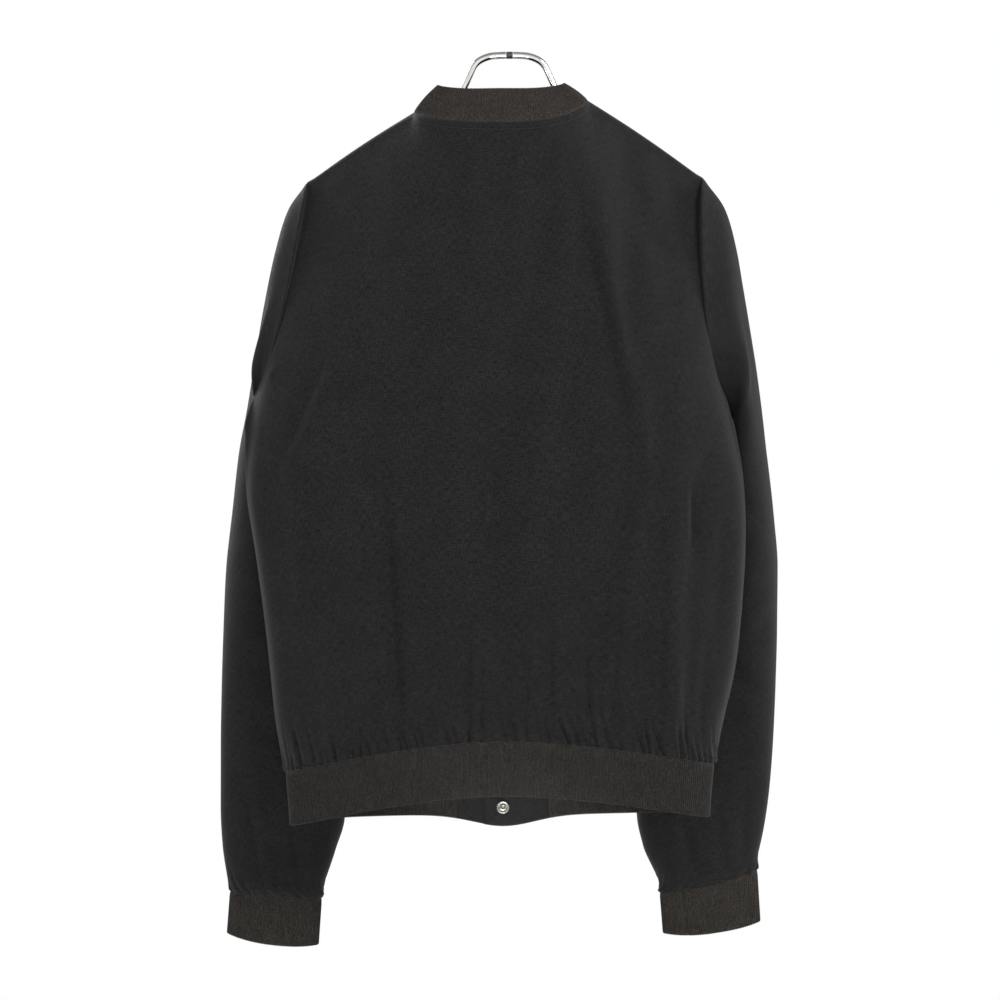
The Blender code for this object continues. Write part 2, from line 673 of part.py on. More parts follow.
def front_row(side, columns, level, waves=None):
    """One front at a level, from its outer edge to the placket seam."""
    columns = columns * front_share_at(side, OVERLAP, level)

    def form(c, at):
        return front_form(side, c, at)

    base, normal = form(columns, level), normals_of(form, columns, level)
    # The front's normal points to the front at the centre, and turns with it round to the tuck.
    normal *= np.sign(-normal[-1, 1])
    base, normal = world(base, side), normal * np.array([side, 1, 1])
    normal[0] = edge_normal(side, level, False)
    if level == 1.0:
        outside = columns <= FRONT_NECK_SHARE + TINY
        normal = np.where(outside[:, None], seam_normal(side, "shoulder", columns), neck_normals(side, base))
    fade = ease((columns - 0.12) / 0.12) * ease((1 - height_share(level)) / 0.08)
    lift = fold_height(FRONT_FOLDS, base[:, 0], base[:, 2]) * fade
    if waves is not None:
        from_edge = ease(columns / 0.04) * ease((columns[-1] - columns) / 0.02)
        lift = lift + gather_wave(len(columns), side, waves) * from_edge
    out = base + normal * lift[:, None]
    into = out - normal * CLOTH
    if side == LEFT:
        ahead = lap_ahead(base[:, 0] - CENTRE_X)
        out[:, 1] -= ahead
        into[:, 1] -= ahead
    return columns, out, into


def front_columns(side):
    """Columns from 0 at the outer edge to 1 at the placket seam, one of them at the neck point."""
    columns = np.linspace(0, 1, FRONT_COLUMNS + 1)
    neck = FRONT_NECK_SHARE / front_share_at(side, OVERLAP, 1.0)
    columns[np.argmin(np.abs(columns - neck))] = neck
    return columns


def make_front(side):
    gathers, levels = body_levels()
    columns = front_columns(side)
    rows = []
    for level in gathers:
        depth = GATHER_DEPTH * (1 - level / gathers[-1] * 0.8)
        rows.append(front_row(side, doubled(columns), level, depth))
    for level in levels:
        rows.append(front_row(side, columns, level))
    return cloth_wall(f"front_{NAMES[side]}", pull_in(rows), "cloth")


# ---------------------------------------------------------------- plackets, hem tabs and rib band


def lap_row(side, level, xs, drop=0.0):
    """A short row across the centre line on the fronts' form: places, outer and inner points."""
    points = []
    for x in xs:
        on = LEFT if x >= 0 else RIGHT
        share = front_share_at(on, abs(x), level) if abs(x) > TINY else 1.0
        points.append(world(front_form(on, np.array([share]), level)[0], on))
    points = np.array(points)
    points[:, 2] -= drop
    into = np.array([0, CLOTH, 0])
    if level == 1.0:
        into = -CLOTH * np.array([neck_normals(LEFT if x >= 0 else RIGHT, p[None])[0] for x, p in zip(xs, points)])
    if side == LEFT:
        points[:, 1] -= lap_ahead(np.asarray(xs))
    return np.linspace(0, 1, len(xs)), points, points + into


def placket_rows(side):
    levels = (0.0, *body_levels()[1])
    return [lap_row(side, level, np.linspace(OVERLAP, -OVERLAP, 5)) for level in levels]


def make_placket(side):
    """The strip that carries the snaps, across the centre line. The left one laps over the right."""
    return cloth_wall(f"placket_{NAMES[side]}", pull_in(placket_rows(side)), "cloth")


def tab_rows(side):
    ends = (TAB_WIDTH, -OVERLAP) if side == LEFT else (OVERLAP, -TAB_WIDTH)
    return [lap_row(side, 0.0, np.linspace(*ends, 7), RIB_HEIGHT * share) for share in (1.0, 0.5, 0.0)]


def make_hem_tab(side):
    """The cloth piece that ends the rib band in front, as high as the band."""
    return cloth_wall(f"hem_tab_{NAMES[side]}", pull_in(tab_rows(side)), "cloth")


def hem_path():
    """The hem seam from the left tab round the back to the right tab: points and level normals."""
    points, normals = [], []
    for side, back in ((LEFT, False), (LEFT, True), (RIGHT, True), (RIGHT, False)):
        if back:
            columns, form = back_columns(side), back_form
        else:
            columns, form = np.linspace(0, front_share_at(side, TAB_WIDTH, 0.0), FRONT_COLUMNS - 3), front_form

        def at(c, level, side=side, form=form):
            return form(side, c, level)

        base, normal = at(columns, 0.0), normals_of(at, columns, 0.0)
        normal *= np.sign(normal[-1, 1]) * (1 if back else -1)
        normal[0] = (1, 0, 0)
        normal[:, 2] = 0
        base, normal = world(base, side), normal * np.array([side, 1, 1])
        if side == LEFT and not back:
            base[:, 1] -= lap_ahead(base[:, 0] - CENTRE_X)
        if (side == LEFT) != back:
            base, normal = base[::-1], normal[::-1]
        skip = 1 if points else 0
        points.append(base[skip:])
        normals.append(normal[skip:])
    normals = np.concatenate(normals)
    return np.concatenate(points), normals / np.linalg.norm(normals, axis=1)[:, None]


def make_hem_rib():
    """The knitted band, drawn in a little towards its lower edge."""
    seam, normals = hem_path()
    lengths = np.concatenate([[0], np.cumsum(np.linalg.norm(np.diff(seam, axis=0), axis=1))])
    x = seam[:, 0] - CENTRE_X
    draw_in = np.sign(x) * RIB_DRAW_IN * ease((np.abs(x) - TAB_WIDTH) / 100)
    rows = []
    for share in (1.0, 0.5, 0.0):
        out = seam - share * np.stack([draw_in, 0 * x, 0 * x + RIB_HEIGHT], axis=-1)
        rows.append((lengths / lengths[-1], out, out - normals * KNIT))
    return cloth_wall("hem_rib", pull_in(rows), "rib")


# ---------------------------------------------------------------- collar


def collar_path():
    """The neck seam from the left collar end round the back to the right end: points, and how far ahead."""

    def lap(side):
        return np.array([front_share_at(side, x, 1.0) for x in (OVERLAP, OVERLAP / 2)] + [1.0])

    def front(side):
        columns = front_columns(side) * front_share_at(side, OVERLAP, 1.0)
        return np.concatenate([columns[columns >= FRONT_NECK_SHARE - TINY], lap(side)[1:]])

    pieces = [
        world(front_top(RIGHT, lap(RIGHT)), RIGHT),
        world(front_top(LEFT, front(LEFT)[::-1]), LEFT)[1:],
        world(back_top(LEFT, back_neck_columns(LEFT)), LEFT)[1:],
        world(back_top(RIGHT, back_neck_columns(RIGHT)[::-1]), RIGHT)[1:],
        world(front_top(RIGHT, front(RIGHT)), RIGHT)[1:],
        world(front_top(LEFT, lap(LEFT)[::-1]), LEFT)[1:],
    ]
    ahead = [
        np.full(len(pieces[0]), LAP_OUT),
        lap_ahead(pieces[1][:, 0] - CENTRE_X),
        *(np.zeros(len(piece)) for piece in pieces[2:]),
    ]
    return np.concatenate(pieces), np.concatenate(ahead)


def back_neck_columns(side):
    """The back's columns inside the neck point, from there to the centre."""
    columns = back_columns(side)
    return columns[columns <= neck_share(side) + TINY]


def make_collar():
    """The knitted stand collar, from the neck seam up and in. Its left end laps over the right one."""
    seam, ahead = collar_path()
    x, y = seam[:, 0] - CENTRE_X, seam[:, 1]
    angle = np.degrees(np.arctan2(y / 55.0, np.abs(x) / 80.0))
    outward = np.stack([x / 80.0**2, y / 55.0**2, 0 * x], axis=-1)
    outward /= np.linalg.norm(outward, axis=1)[:, None]
    lean = through(COLLAR_ANGLES, COLLAR_LEAN, angle)[:, None]
    rise = through(COLLAR_ANGLES, COLLAR_RISE, angle)[:, None]
    up = np.array([0, 0, 1.0])
    wall_normal = outward * rise + up * lean
    wall_normal /= np.linalg.norm(wall_normal, axis=1)[:, None]
    seam_side = np.where(x >= 0, LEFT, RIGHT)
    at_seam = np.array([neck_normals(s, point[None])[0] for s, point in zip(seam_side, seam)])
    lengths = np.concatenate([[0], np.cumsum(np.linalg.norm(np.diff(seam, axis=0), axis=1))])
    rows = []
    for share in (0.0, 0.35, 0.7, 1.0):
        out = seam + up * rise * share - outward * lean * share
        out = out + wall_normal * COLLAR_BOW * math.sin(math.pi * share)
        out[:, 1] -= ahead
        normal = at_seam if share == 0 else wall_normal
        # At the seam the knit is pressed as thin as the cloth.
        rows.append((lengths / lengths[-1], out, out - normal * (CLOTH if share == 0 else KNIT)))
    return cloth_wall("collar", pull_in(rows), "rib")


# ---------------------------------------------------------------- sleeves and cuffs


def sleeve_size(side, name, ring):
    """One of the sleeve's sizes at a ring, counted from 0 at the armhole to the last one at the cuff."""
    point, cuff = POINTS[side], CUFF[side]
    first = {
        "outer_z": point["shoulder"][2],
        "inner_z": point["underarm"][2],
        "outer": point["shoulder"][0],
        "inner": point["underarm"][0],
        "outer_y": point["shoulder"][1],
        "inner_y": point["underarm"][1],
        "back": ARMHOLE_BACK,
        "front": ARMHOLE_FRONT,
        "rear_out": 0.0,
    }[name]
    last = {
        "outer_z": cuff["outer"][1],
        "inner_z": cuff["inner"][1],
        "outer": cuff["outer"][0],
        "inner": cuff["inner"][0],
        "outer_y": CUFF_Y,
        "inner_y": CUFF_Y,
        "back": CUFF_DEPTH,
        "front": CUFF_DEPTH,
        "rear_out": 0.0,
    }[name]
    column = f"{NAMES[side]}_{name}" if name in ("outer", "inner") else name
    values = np.array(SLEEVE[column], float)
    if name.endswith("_z"):
        # The table ends as high above the cuff seam on either side.
        shift = last + SLEEVE_END_RISE - values[-1]
        values = values + shift * ease((np.arange(len(values)) - len(values) + 7) / 6)
    places = [*range(len(values) + 1), len(values) + CUFF_RINGS]
    return through(places, (first, *values, last), ring)


LAST_RING = len(SLEEVE["outer_z"]) + CUFF_RINGS
# The rows above the sixth ring, as rings at the outer and the inner line: the inner one has fewer near the seam.
SLEEVE_TOP_RINGS = ((0.0, 0.0), (0.8, 1.0), (1.7, 2.1), (2.7, 3.2), (3.7, 4.2), (4.8, 5.1))


def sleeve_form(side, places, ring):
    """The sleeve without its creases, at places from 0 to 1 round it, starting outside and going backwards."""
    angle = np.asarray(places, float) * 2 * math.pi
    size = {name: sleeve_size(side, name, ring) for name in SLEEVE_SIZES}
    power = 2 / (2 + (SLEEVE_SQUARE - 2) * np.minimum(1, ring / 3))
    cos = np.sign(np.cos(angle)) * np.abs(np.cos(angle)) ** power
    sin = np.sign(np.sin(angle)) * np.abs(np.sin(angle)) ** power
    down = (1 - cos) / 2
    point = POINTS[side]
    hollow = point["armhole_hollow"] * np.abs(np.sin(angle)) * (1 - point["armhole_skew"] * down)
    x = size["outer"] + (size["inner"] - size["outer"]) * down - hollow * (1 - ease(ring / 4))
    rear = np.clip(sin, 0, 1) ** 0.75 * (0.84 + np.where(down < 0.5, 1.56, 0.35) * (down - 0.5))
    x = x + size["rear_out"] * rear
    y = size["outer_y"] + (size["inner_y"] - size["outer_y"]) * down
    y = y + np.where(sin > 0, size["back"], size["front"]) * sin
    z = size["outer_z"] + (size["inner_z"] - size["outer_z"]) * down
    return np.stack([x, y, z], axis=-1)


SLEEVE_SIZES = ("outer_z", "inner_z", "outer", "inner", "outer_y", "inner_y", "back", "front", "rear_out")


def ring_normals(form, places, ring, last):
    """Outward normals of a ring-shaped form on one ring."""
    step = 0.4 / SLEEVE_COLUMNS
    across = form(places + step, ring) - form(places - step, ring)
    along = form(places, np.minimum(ring + 0.4, last)) - form(places, np.maximum(ring - 0.4, 0.0))
    normal = np.cross(across, along)
    normal /= np.linalg.norm(normal, axis=1)[:, None]
    points = form(places, ring)
    outward = np.sum(normal * (points - points.mean(axis=0)), axis=1)
    return normal * np.sign(outward.sum())


def crease_height(side, places, z):
    """How far the sleeve's creases move the cloth out."""
    total = np.zeros(len(places))
    degrees = places * 360
    for k in range(len(SLEEVE_FOLDS["z"])):
        row = {name: column[k] for name, column in SLEEVE_FOLDS.items()}
        slant = (z - row["z"]) * 0.25 * side
        turn = (degrees - row["angle"] - slant + 180) % 360 - 180
        away = (z - row["z"]) / (row["length"] / 2)
        total += row["depth"] * np.exp(-((turn / row["width"]) ** 2) - away**2)
    return total


def make_sleeve(side):
    """A one-piece sleeve from the armhole seam to the cuff seam, where it is gathered."""
    coarse = np.arange(SLEEVE_COLUMNS) / SLEEVE_COLUMNS
    fine = np.arange(SLEEVE_COLUMNS * 2) / (SLEEVE_COLUMNS * 2)

    def form(places, ring):
        return sleeve_form(side, places, ring)

    even = [(float(ring), float(ring)) for ring in range(6, int(LAST_RING))]
    last = [(LAST_RING - less, LAST_RING - less) for less in (CUFF_RINGS, 0.3, 0.0)]
    rows = []
    for outer, inner in (*SLEEVE_TOP_RINGS, *even, *last):
        gathered = outer > LAST_RING - CUFF_RINGS - TINY
        places = fine if gathered else coarse
        ring = outer + (inner - outer) * (1 - np.cos(places * 2 * math.pi)) / 2
        base, normal = form(places, ring), ring_normals(form, places, ring, LAST_RING)
        lift = crease_height(side, places, base[:, 2]) * ease(ring / 2) * ease((LAST_RING - ring) / 1.5)
        if gathered:
            share = 1 - (LAST_RING - outer) / CUFF_RINGS
            lift = lift + gather_wave(len(places), side, CUFF_GATHER_DEPTH * (0.5 + 0.5 * share))
        base, normal = world(base, side), normal * np.array([side, 1, 1])
        if outer == 0.0:
            normal = seam_normal(side, "armhole", places * 2 * math.pi)
        out = base + normal * lift[:, None]
        rows.append((places, out, out - normal * CLOTH))
    return cloth_wall(f"sleeve_{NAMES[side]}", pull_in(rows[::-1], ring=True), "cloth", ring=True)


def make_cuff(side):
    """A knitted cuff, whose lower edge dips in its middle."""
    cuff = CUFF[side]
    places = np.arange(CUFF_COLUMNS) / CUFF_COLUMNS
    top = sleeve_form(side, places, LAST_RING)
    angle = places * 2 * math.pi
    normal = np.stack([np.cos(angle) * CUFF_DEPTH, np.sin(angle) * 43.0, 0 * angle], axis=-1)
    normal = world(normal, side) - np.array([CENTRE_X, 0, 0])
    normal /= np.linalg.norm(normal, axis=1)[:, None]
    down = (1 - np.cos(angle)) / 2
    drop = cuff["outer_drop"] + (cuff["inner_drop"] - cuff["outer_drop"]) * down + CUFF_DIP * np.sin(angle) ** 2
    rows = []
    for share in (1.0, 0.5, 0.0):
        out = world(top, side)
        out[:, 0] += cuff["lean"] * share
        out[:, 2] -= drop * share
        rows.append((places, out, out - normal * KNIT))
    return cloth_wall(f"cuff_{NAMES[side]}", pull_in(rows, ring=True), "rib", ring=True)


# ---------------------------------------------------------------- snaps and hanger


def turned(name, profile, centre, facing, finish, hole=False):
    """A turned piece on a surface: the profile is (radius, height) pairs, the height along facing."""
    axis = Vector(facing).normalized()
    turn = axis.to_track_quat("Z", "Y").to_matrix()
    points, rings = [], []
    for radius, height in profile:
        if radius == 0:
            rings.append([len(points)])
            points.append(turn @ Vector((0, 0, height)) + Vector(centre))
            continue
        rings.append(list(range(len(points), len(points) + SNAP_SIDES)))
        for k in range(SNAP_SIDES):
            angle = 2 * math.pi * k / SNAP_SIDES
            flat = Vector((radius * math.cos(angle), radius * math.sin(angle), height))
            points.append(turn @ flat + Vector(centre))
    if hole:
        rings.append(rings[0])
    faces = []
    for low, high in zip(rings, rings[1:]):
        for k in range(SNAP_SIDES):
            after = (k + 1) % SNAP_SIDES
            corners = [low[k % len(low)], low[after % len(low)], high[after % len(high)], high[k % len(high)]]
            faces.append(tuple(dict.fromkeys(corners)))
    return make_object(name, [tuple(p) for p in points], faces, finish)


def seat(rows, wall, z, facing_y, radius):
    """Where a snap of this radius lies on a placket or tab, clear of the cloth's own curve: centre and facing."""
    places = rows[0][0]
    lines = np.array([row[wall] for row in rows])
    heights = lines[:, :, 2].mean(axis=1)

    def cloth_y(x, height):
        near = [np.interp(height, heights, lines[:, k, 1]) for k in range(len(places))]
        return np.interp(x, lines[0, ::-1, 0], near[::-1])

    slope = (cloth_y(CENTRE_X, z + radius) - cloth_y(CENTRE_X, z - radius)) / (2 * radius)
    facing = facing_y * np.array([0, 1, -slope])
    centre = np.array([CENTRE_X, cloth_y(CENTRE_X, z), z])
    steps = (-radius, 0, radius)
    over = [
        facing_y * (cloth_y(CENTRE_X + right, z + up) - centre[1] - slope * up) for right in steps for up in steps
    ]
    return centre + facing * (SEAM_GAP + max(over)), facing


def make_snaps():
    """A cap on the outside of the left front and a ring on the inside of the right one, for each snap."""
    cap = [(0, SNAP_CAP_HEIGHT), (0.5, 0.92), (0.86, 0.6), (1.0, 0.15), (1.0, 0.0)]
    cap = [cap[0], *((r * SNAP_CAP_RADIUS, h * SNAP_CAP_HEIGHT) for r, h in cap[1:]), (0, 0)]
    ring = [(SNAP_RING_HOLE, 0.0), (1.0, 0.0), (1.0, 0.55), (0.82, 1.0), (0.4, 0.8)]
    ring = [ring[0], *((r * SNAP_RING_RADIUS, h * SNAP_RING_HEIGHT) for r, h in ring[1:])]
    ring.append((SNAP_RING_HOLE, 0.7 * SNAP_RING_HEIGHT))
    heights = [*np.linspace(SNAP_TOP_Z, SNAP_LOWEST_Z, SNAP_COUNT), SNAP_TAB_Z]
    for number, z in enumerate(heights, start=1):
        find = tab_rows if z == SNAP_TAB_Z else placket_rows
        centre, facing = seat(find(LEFT), 1, z, -1, SNAP_CAP_RADIUS)
        turned(f"snap_cap_{number}", cap, centre, facing, "snap")
        centre, facing = seat(find(RIGHT), 2, z, 1, SNAP_RING_RADIUS)
        turned(f"snap_ring_{number}", ring, centre, facing, "snap", hole=True)


def make_rod(side):
    """Half of the hanger's bent rod."""
    line = spline([(x * side, z) for x, z in zip(ROD["x"], ROD["z"])], 2)
    curve = bpy.data.curves.new(f"hanger_rod_{NAMES[side]}", "CURVE")
    curve.dimensions = "3D"
    curve.bevel_depth = ROD_RADIUS * MM
    curve.bevel_resolution = (ROD_SIDES - 4) // 2
    curve.use_fill_caps = True
    path = curve.splines.new("POLY")
    path.points.add(len(line) - 1)
    for point, (x, z) in zip(path.points, line):
        point.co = (x * MM, 0, z * MM, 1)
    path.use_smooth = True
    curve.materials.append(material("chrome"))
    made = bpy.data.objects.new(curve.name, curve)
    bpy.context.scene.collection.objects.link(made)
    return made


def make_joiner():
    """The short plain block between the two halves of the rod. The hanger is held here."""
    mesh = bpy.data.meshes.new("hanger_joiner")
    work = bmesh.new()
    lying = Matrix.Translation((0, 0, -ROD_RADIUS * MM)) @ Matrix.Rotation(math.pi / 2, 4, "Y")
    radius = ROD_RADIUS * MM
    bmesh.ops.create_cone(
        work,
        cap_ends=True,
        segments=16,
        radius1=radius,
        radius2=radius,
        depth=JOINER_LENGTH * MM,
        matrix=lying,
    )
    work.to_mesh(mesh)
    work.free()
    mesh.shade_smooth()
    mesh.set_sharp_from_angle(angle=math.radians(40))
    mesh.materials.append(material("joiner"))
    made = bpy.data.objects.new("hanger_joiner", mesh)
    bpy.context.scene.collection.objects.link(made)
    return made


# ---------------------------------------------------------------- run


def clear_scene():
    for old in list(bpy.data.objects):
        bpy.data.objects.remove(old, do_unlink=True)


clear_scene()
make_back()
make_hem_rib()
make_collar()
for each in (LEFT, RIGHT):
    make_front(each)
    make_placket(each)
    make_hem_tab(each)
    make_sleeve(each)
    make_cuff(each)
    make_rod(each)
make_snaps()
make_joiner()
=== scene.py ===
"""Looks of a bomber jacket that hangs on a rod hanger.

The cloth is laid as fine shells on the jacket's own form, with its creases, gathers and sewn edges. The
collar, cuffs and hem band are knitted, with raised ribs. Sizes are in millimetres and turned into metres
where a mesh is made. +Z is up, the front faces -Y, +X is the wearer's left, and the origin is the top of
the hanger's arch.
"""

import math
from functools import lru_cache

import bmesh
import bpy
import numpy as np
from mathutils import Matrix, Vector

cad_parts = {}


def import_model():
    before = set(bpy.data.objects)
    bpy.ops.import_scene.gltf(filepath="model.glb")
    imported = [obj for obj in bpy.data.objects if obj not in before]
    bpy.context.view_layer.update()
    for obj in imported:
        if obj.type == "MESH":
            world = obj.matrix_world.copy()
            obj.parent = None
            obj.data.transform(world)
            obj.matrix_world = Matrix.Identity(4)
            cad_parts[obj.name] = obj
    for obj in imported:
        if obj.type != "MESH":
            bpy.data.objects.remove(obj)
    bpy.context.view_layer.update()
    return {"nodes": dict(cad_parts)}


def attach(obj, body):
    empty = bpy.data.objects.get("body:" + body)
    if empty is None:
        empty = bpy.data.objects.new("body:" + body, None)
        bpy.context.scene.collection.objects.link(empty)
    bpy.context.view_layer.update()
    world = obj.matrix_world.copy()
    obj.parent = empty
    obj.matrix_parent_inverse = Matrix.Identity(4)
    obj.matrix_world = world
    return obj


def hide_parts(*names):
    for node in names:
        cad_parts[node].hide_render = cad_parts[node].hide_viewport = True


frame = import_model()

# ---------------------------------------------------------------- the pattern's sizes

MM = 0.001
CENTRE_X = 6.0  # the jacket's centre line, from the hanger's
CLOTH = 1.2  # wall of the woven cloth
KNIT = 2.2  # wall of the rib knit, and of its fold
LEFT, RIGHT = 1, -1  # the wearer's sides, as the sign of x
NAMES = {LEFT: "left", RIGHT: "right"}
# Neck, shoulders and underarms: the points that the pattern pieces meet in, for each side.
POINTS = {
    LEFT: {
        "neck": (82.0, 0.0, -56.0),
        "shoulder": (181.0, 0.0, -122.0),
        "underarm": (229.0, -2.0, -314.0),
        "hem_z": -662.0,
        "armhole_hollow": 5.0,
        "armhole_skew": -1.8,
    },
    RIGHT: {
        "neck": (78.0, 0.0, -45.0),
        "shoulder": (185.0, 0.0, -118.0),
        "underarm": (204.0, -2.0, -312.0),
        "hem_z": -654.0,
        "armhole_hollow": 8.5,
        "armhole_skew": -1.06,
    },
}
BACK_NECK_Y, BACK_NECK_Z = 52.0, -71.0
FRONT_NECK_Y, FRONT_NECK_Z = -62.0, -125.0
ARMHOLE_BACK, ARMHOLE_FRONT = 38.0, 54.0  # how far it reaches behind and before its middle
SHOULDER_ROUND = 2.0  # rise of the shoulder seam over a straight line
# The body's side folds, below the underarm: the fold's place on each side, and the front's way round the
# hanging sleeve (tuck, then flank).
SIDE = {
    "z": (-665, -616, -562, -507, -448, -405, -346, -330),
    "left_x": (199, 208, 213, 219, 227, 234, 236, 233),
    "right_x": (192, 201, 213, 218, 221, 220, 212, 207),
    "y": (0, 5, 10, 14, 18, 19, 18, 13),
}
SECTION = {
    "z": (-665, -616, -562, -507, -405, -346, -314, -290, -240, -180, -125),
    "tuck_x": (180, 186, 182, 178, 174, 177, 186, 184, 172, 165, 150),
    "tuck_y": (-26, -22, -14, -4, 4, 6, -17, -50, -64, -54, -12),
    "flank_x": (146, 152, 156, 160, 164, 163, 156, 144, 130, 125, 110),
    "flank_y": (-50, -54, -57, -61, -62, -62, -68, -76, -77, -66, -24),
    "front_y": (-63, -71, -77, -82, -88, -89, -89, -88, -84, -76, -64),
    "back_y": (61, 66, 70, 73, 76, 76, 75, 73, 69, 63, 57),
    "round_y": (0, 5, 10, 14, 17, 18, 20, 24, 34, 38, 38),  # where the back's round starts, at its sides
}
BACK_ROUND = 2.4  # how square the back's section is, 2 being an ellipse
UNDERARM_LEVEL = 0.6  # the body's level from 0 at the hem to 1 at the shoulder, at the underarm
FRONT_NECK_SHARE = 0.5  # the neck point's place along the front's columns, 0 at the edge, 1 at the centre
# Hem: the seam to the rib band.
BACK_HEM_Z = -630.0  # at the centre back, which hangs highest
FRONT_HEM_Z = -660.0
FRONT_HEM_DROP, FRONT_HEM_DROP_WIDTH = 11.0, 42.0  # the front edges hang lower
RIB_HEIGHT = 49.0
RIB_DRAW_IN = 4.0  # how much narrower the band is at its lower edge, each side
TAB_WIDTH = 43.0  # from the centre line to the seam between hem tab and rib
OVERLAP = 18.0  # half the width that the left front laps over the right
LAP_OUT = 3.4  # how far the upper layer lies outside the lower one
LAP_RAMP = 45.0  # over this width the upper front comes out to that
# Collar.
COLLAR_ANGLES = (-90, -45, 0, 45, 90)  # round the neck, from the front over the side to the back
COLLAR_LEAN = (9, 14, 23, 15, 8)  # how far its top edge leans in
COLLAR_RISE = (36, 34, 27, 30, 32)  # and stands over the seam
COLLAR_BOW = 1.6  # how far it rounds out between its edges
# Sleeves, ring by ring from the armhole to the cuff seam: the outer line, the inner line and the depth.
SLEEVE = {
    "outer_z": (-145, -181, -217, -254, -291, -328, -366, -422, -479, -535, -592, -649, -706, -745, -781),
    "left_outer": (198, 210, 218, 226, 233, 240, 248, 255, 262, 265, 267, 268, 268, 266, 260),
    "right_outer": (205, 216, 223, 230, 237, 243, 248, 255, 260, 260, 259, 257, 253, 248, 241),
    "inner_z": (-327, -338, -349, -360, -371, -383, -398, -433, -483, -537, -593, -651, -712, -748, -785),
    "left_inner": (224, 220, 215, 209, 203, 198, 193, 187, 179, 172, 163, 154, 150, 159, 171),
    "right_inner": (205, 203, 200, 197, 194, 191, 188, 183, 176, 165, 152, 138, 127, 133, 149),
    "outer_y": (-5, -14, -25, -37, -48, -58, -66, -72, -78, -82, -84, -85, -84, -82, -80),
    "inner_y": (-13, -24, -35, -43, -53, -61, -68, -74, -79, -82, -84, -85, -84, -82, -80),
    "back": (36, 38, 42, 46, 51, 57, 61, 61, 55, 46, 40, 34, 30, 28, 24),
    "front": (56, 62, 70, 76, 80, 80, 78, 73, 66, 56, 46, 38, 33, 30, 26),
    "rear_out": (11, 14, 15, 13, 10, 7, 4, 2, 1, 0, 0, 0, 0, 0, 0),
}
SLEEVE_SQUARE = 2.2  # how square a sleeve's section is, 2 being an ellipse
# How the rear of a sleeve's section leans outwards: how square it is, how far out in its middle, and its slope
# on each side.
REAR_SQUARE, REAR_MIDDLE, REAR_LEAN_OUTER, REAR_LEAN_INNER = 0.75, 0.84, 1.56, 0.35
# Cuffs: where the seam lies at their inner and outer sides, and how far the lower edge lies from it.
CUFF = {
    LEFT: {
        "outer": (258.5, -783.0),
        "inner": (172.0, -790.0),
        "outer_drop": 40.0,
        "inner_drop": 44.0,
        "lean": 3.0,
    },
    RIGHT: {
        "outer": (241.0, -763.0),
        "inner": (149.0, -785.0),
        "outer_drop": 49.0,
        "inner_drop": 38.0,
        "lean": -3.0,
    },
}
CUFF_Y = -80.0
CUFF_DEPTH = 14.0  # half, front to back
CUFF_DIP = 4.5  # the lower edge hangs deeper in its middle
CUFF_RINGS = 0.6  # the sleeve's last table ring lies this far above the seam, in rings
SLEEVE_END_RISE = 8.0  # and this far in height
LAST_RING = len(SLEEVE["outer_z"]) + CUFF_RINGS
# The rows above the sixth ring, as rings at the outer and the inner line, which has fewer near the seam.
SLEEVE_TOP_RINGS = ((0.0, 0.0), (0.8, 1.0), (1.7, 2.1), (2.7, 3.2), (3.7, 4.2), (4.8, 5.1))
# Largest folds. Each runs from its first end to its second; a ridge stands out, a valley (negative) goes in.
FOLD_COLUMNS = ("x1", "z1", "x2", "z2", "width", "depth")
BACK_FOLDS = (
    (-73, -105, -94, -253, 13, 3.2),
    (-94, -253, -122, -372, 13, 3.6),
    (-64, -165, -83, -253, 11, -2.6),
    (-83, -253, -110, -345, 11, -3.2),
    (-112, -126, -134, -190, 12, -2.4),
    (-42, -200, -20, -400, 15, 3.0),
    (-20, -400, 1, -590, 15, 3.2),
    (-25, -190, 12, -360, 12, -2.2),
    (12, -360, 20, -540, 12, -3.0),
    (-104, -400, -68, -595, 11, -3.4),
    (-120, -410, -92, -580, 12, 3.2),
    (-146, -395, -149, -615, 12, 3.6),
    (-170, -400, -166, -470, 9, -2.6),
    (117, -415, 101, -608, 12, -4.4),
    (134, -410, 122, -600, 13, 3.8),
    (158, -470, 152, -560, 12, -2.6),
    (172, -290, 206, -372, 9, -3.0),
    (60, -300, 68, -560, 22, 1.8),
)
FRONT_FOLDS = (
    (118, -150, 96, -330, 16, -2.8),
    (92, -140, 66, -360, 18, 2.8),
    (128, -330, 104, -600, 14, 3.2),
    (96, -380, 84, -610, 12, -3.2),
    (-112, -150, -94, -320, 16, -2.8),
    (-84, -140, -64, -340, 18, 2.8),
    (-126, -340, -110, -600, 14, 3.4),
    (-92, -400, -76, -600, 12, -3.0),
)
# Creases across the sleeves, by height and by angle round the sleeve (0 outside, 90 behind).
SLEEVE_FOLDS = {
    "angle": (60, 95, 130, 75, 250, 285, 300, 110, 250),
    "z": (-250, -300, -430, -560, -300, -420, -600, -690, -700),
    "length": (80, 70, 90, 110, 90, 100, 110, 60, 70),
    "width": (26, 24, 26, 24, 26, 28, 24, 22, 24),
    "depth": (-2.6, 2.4, -2.8, -2.6, -2.6, 2.4, -2.8, 2.2, -2.2),
}
# Hanger: half of its bent rod, from beside the joiner, along the arch and down into the shoulder bar.
ROD_RADIUS = 3.3
ROD = {
    "x": (3.3, 10, 18.4, 27.1, 32.3, 36.2, 40, 44, 48.5, 54.5, 64, 100, 166),
    "z": (-3.3, -3.6, -4.5, -8.1, -13.3, -21.2, -29.5, -38, -47, -54, -60, -79, -115.5),
}
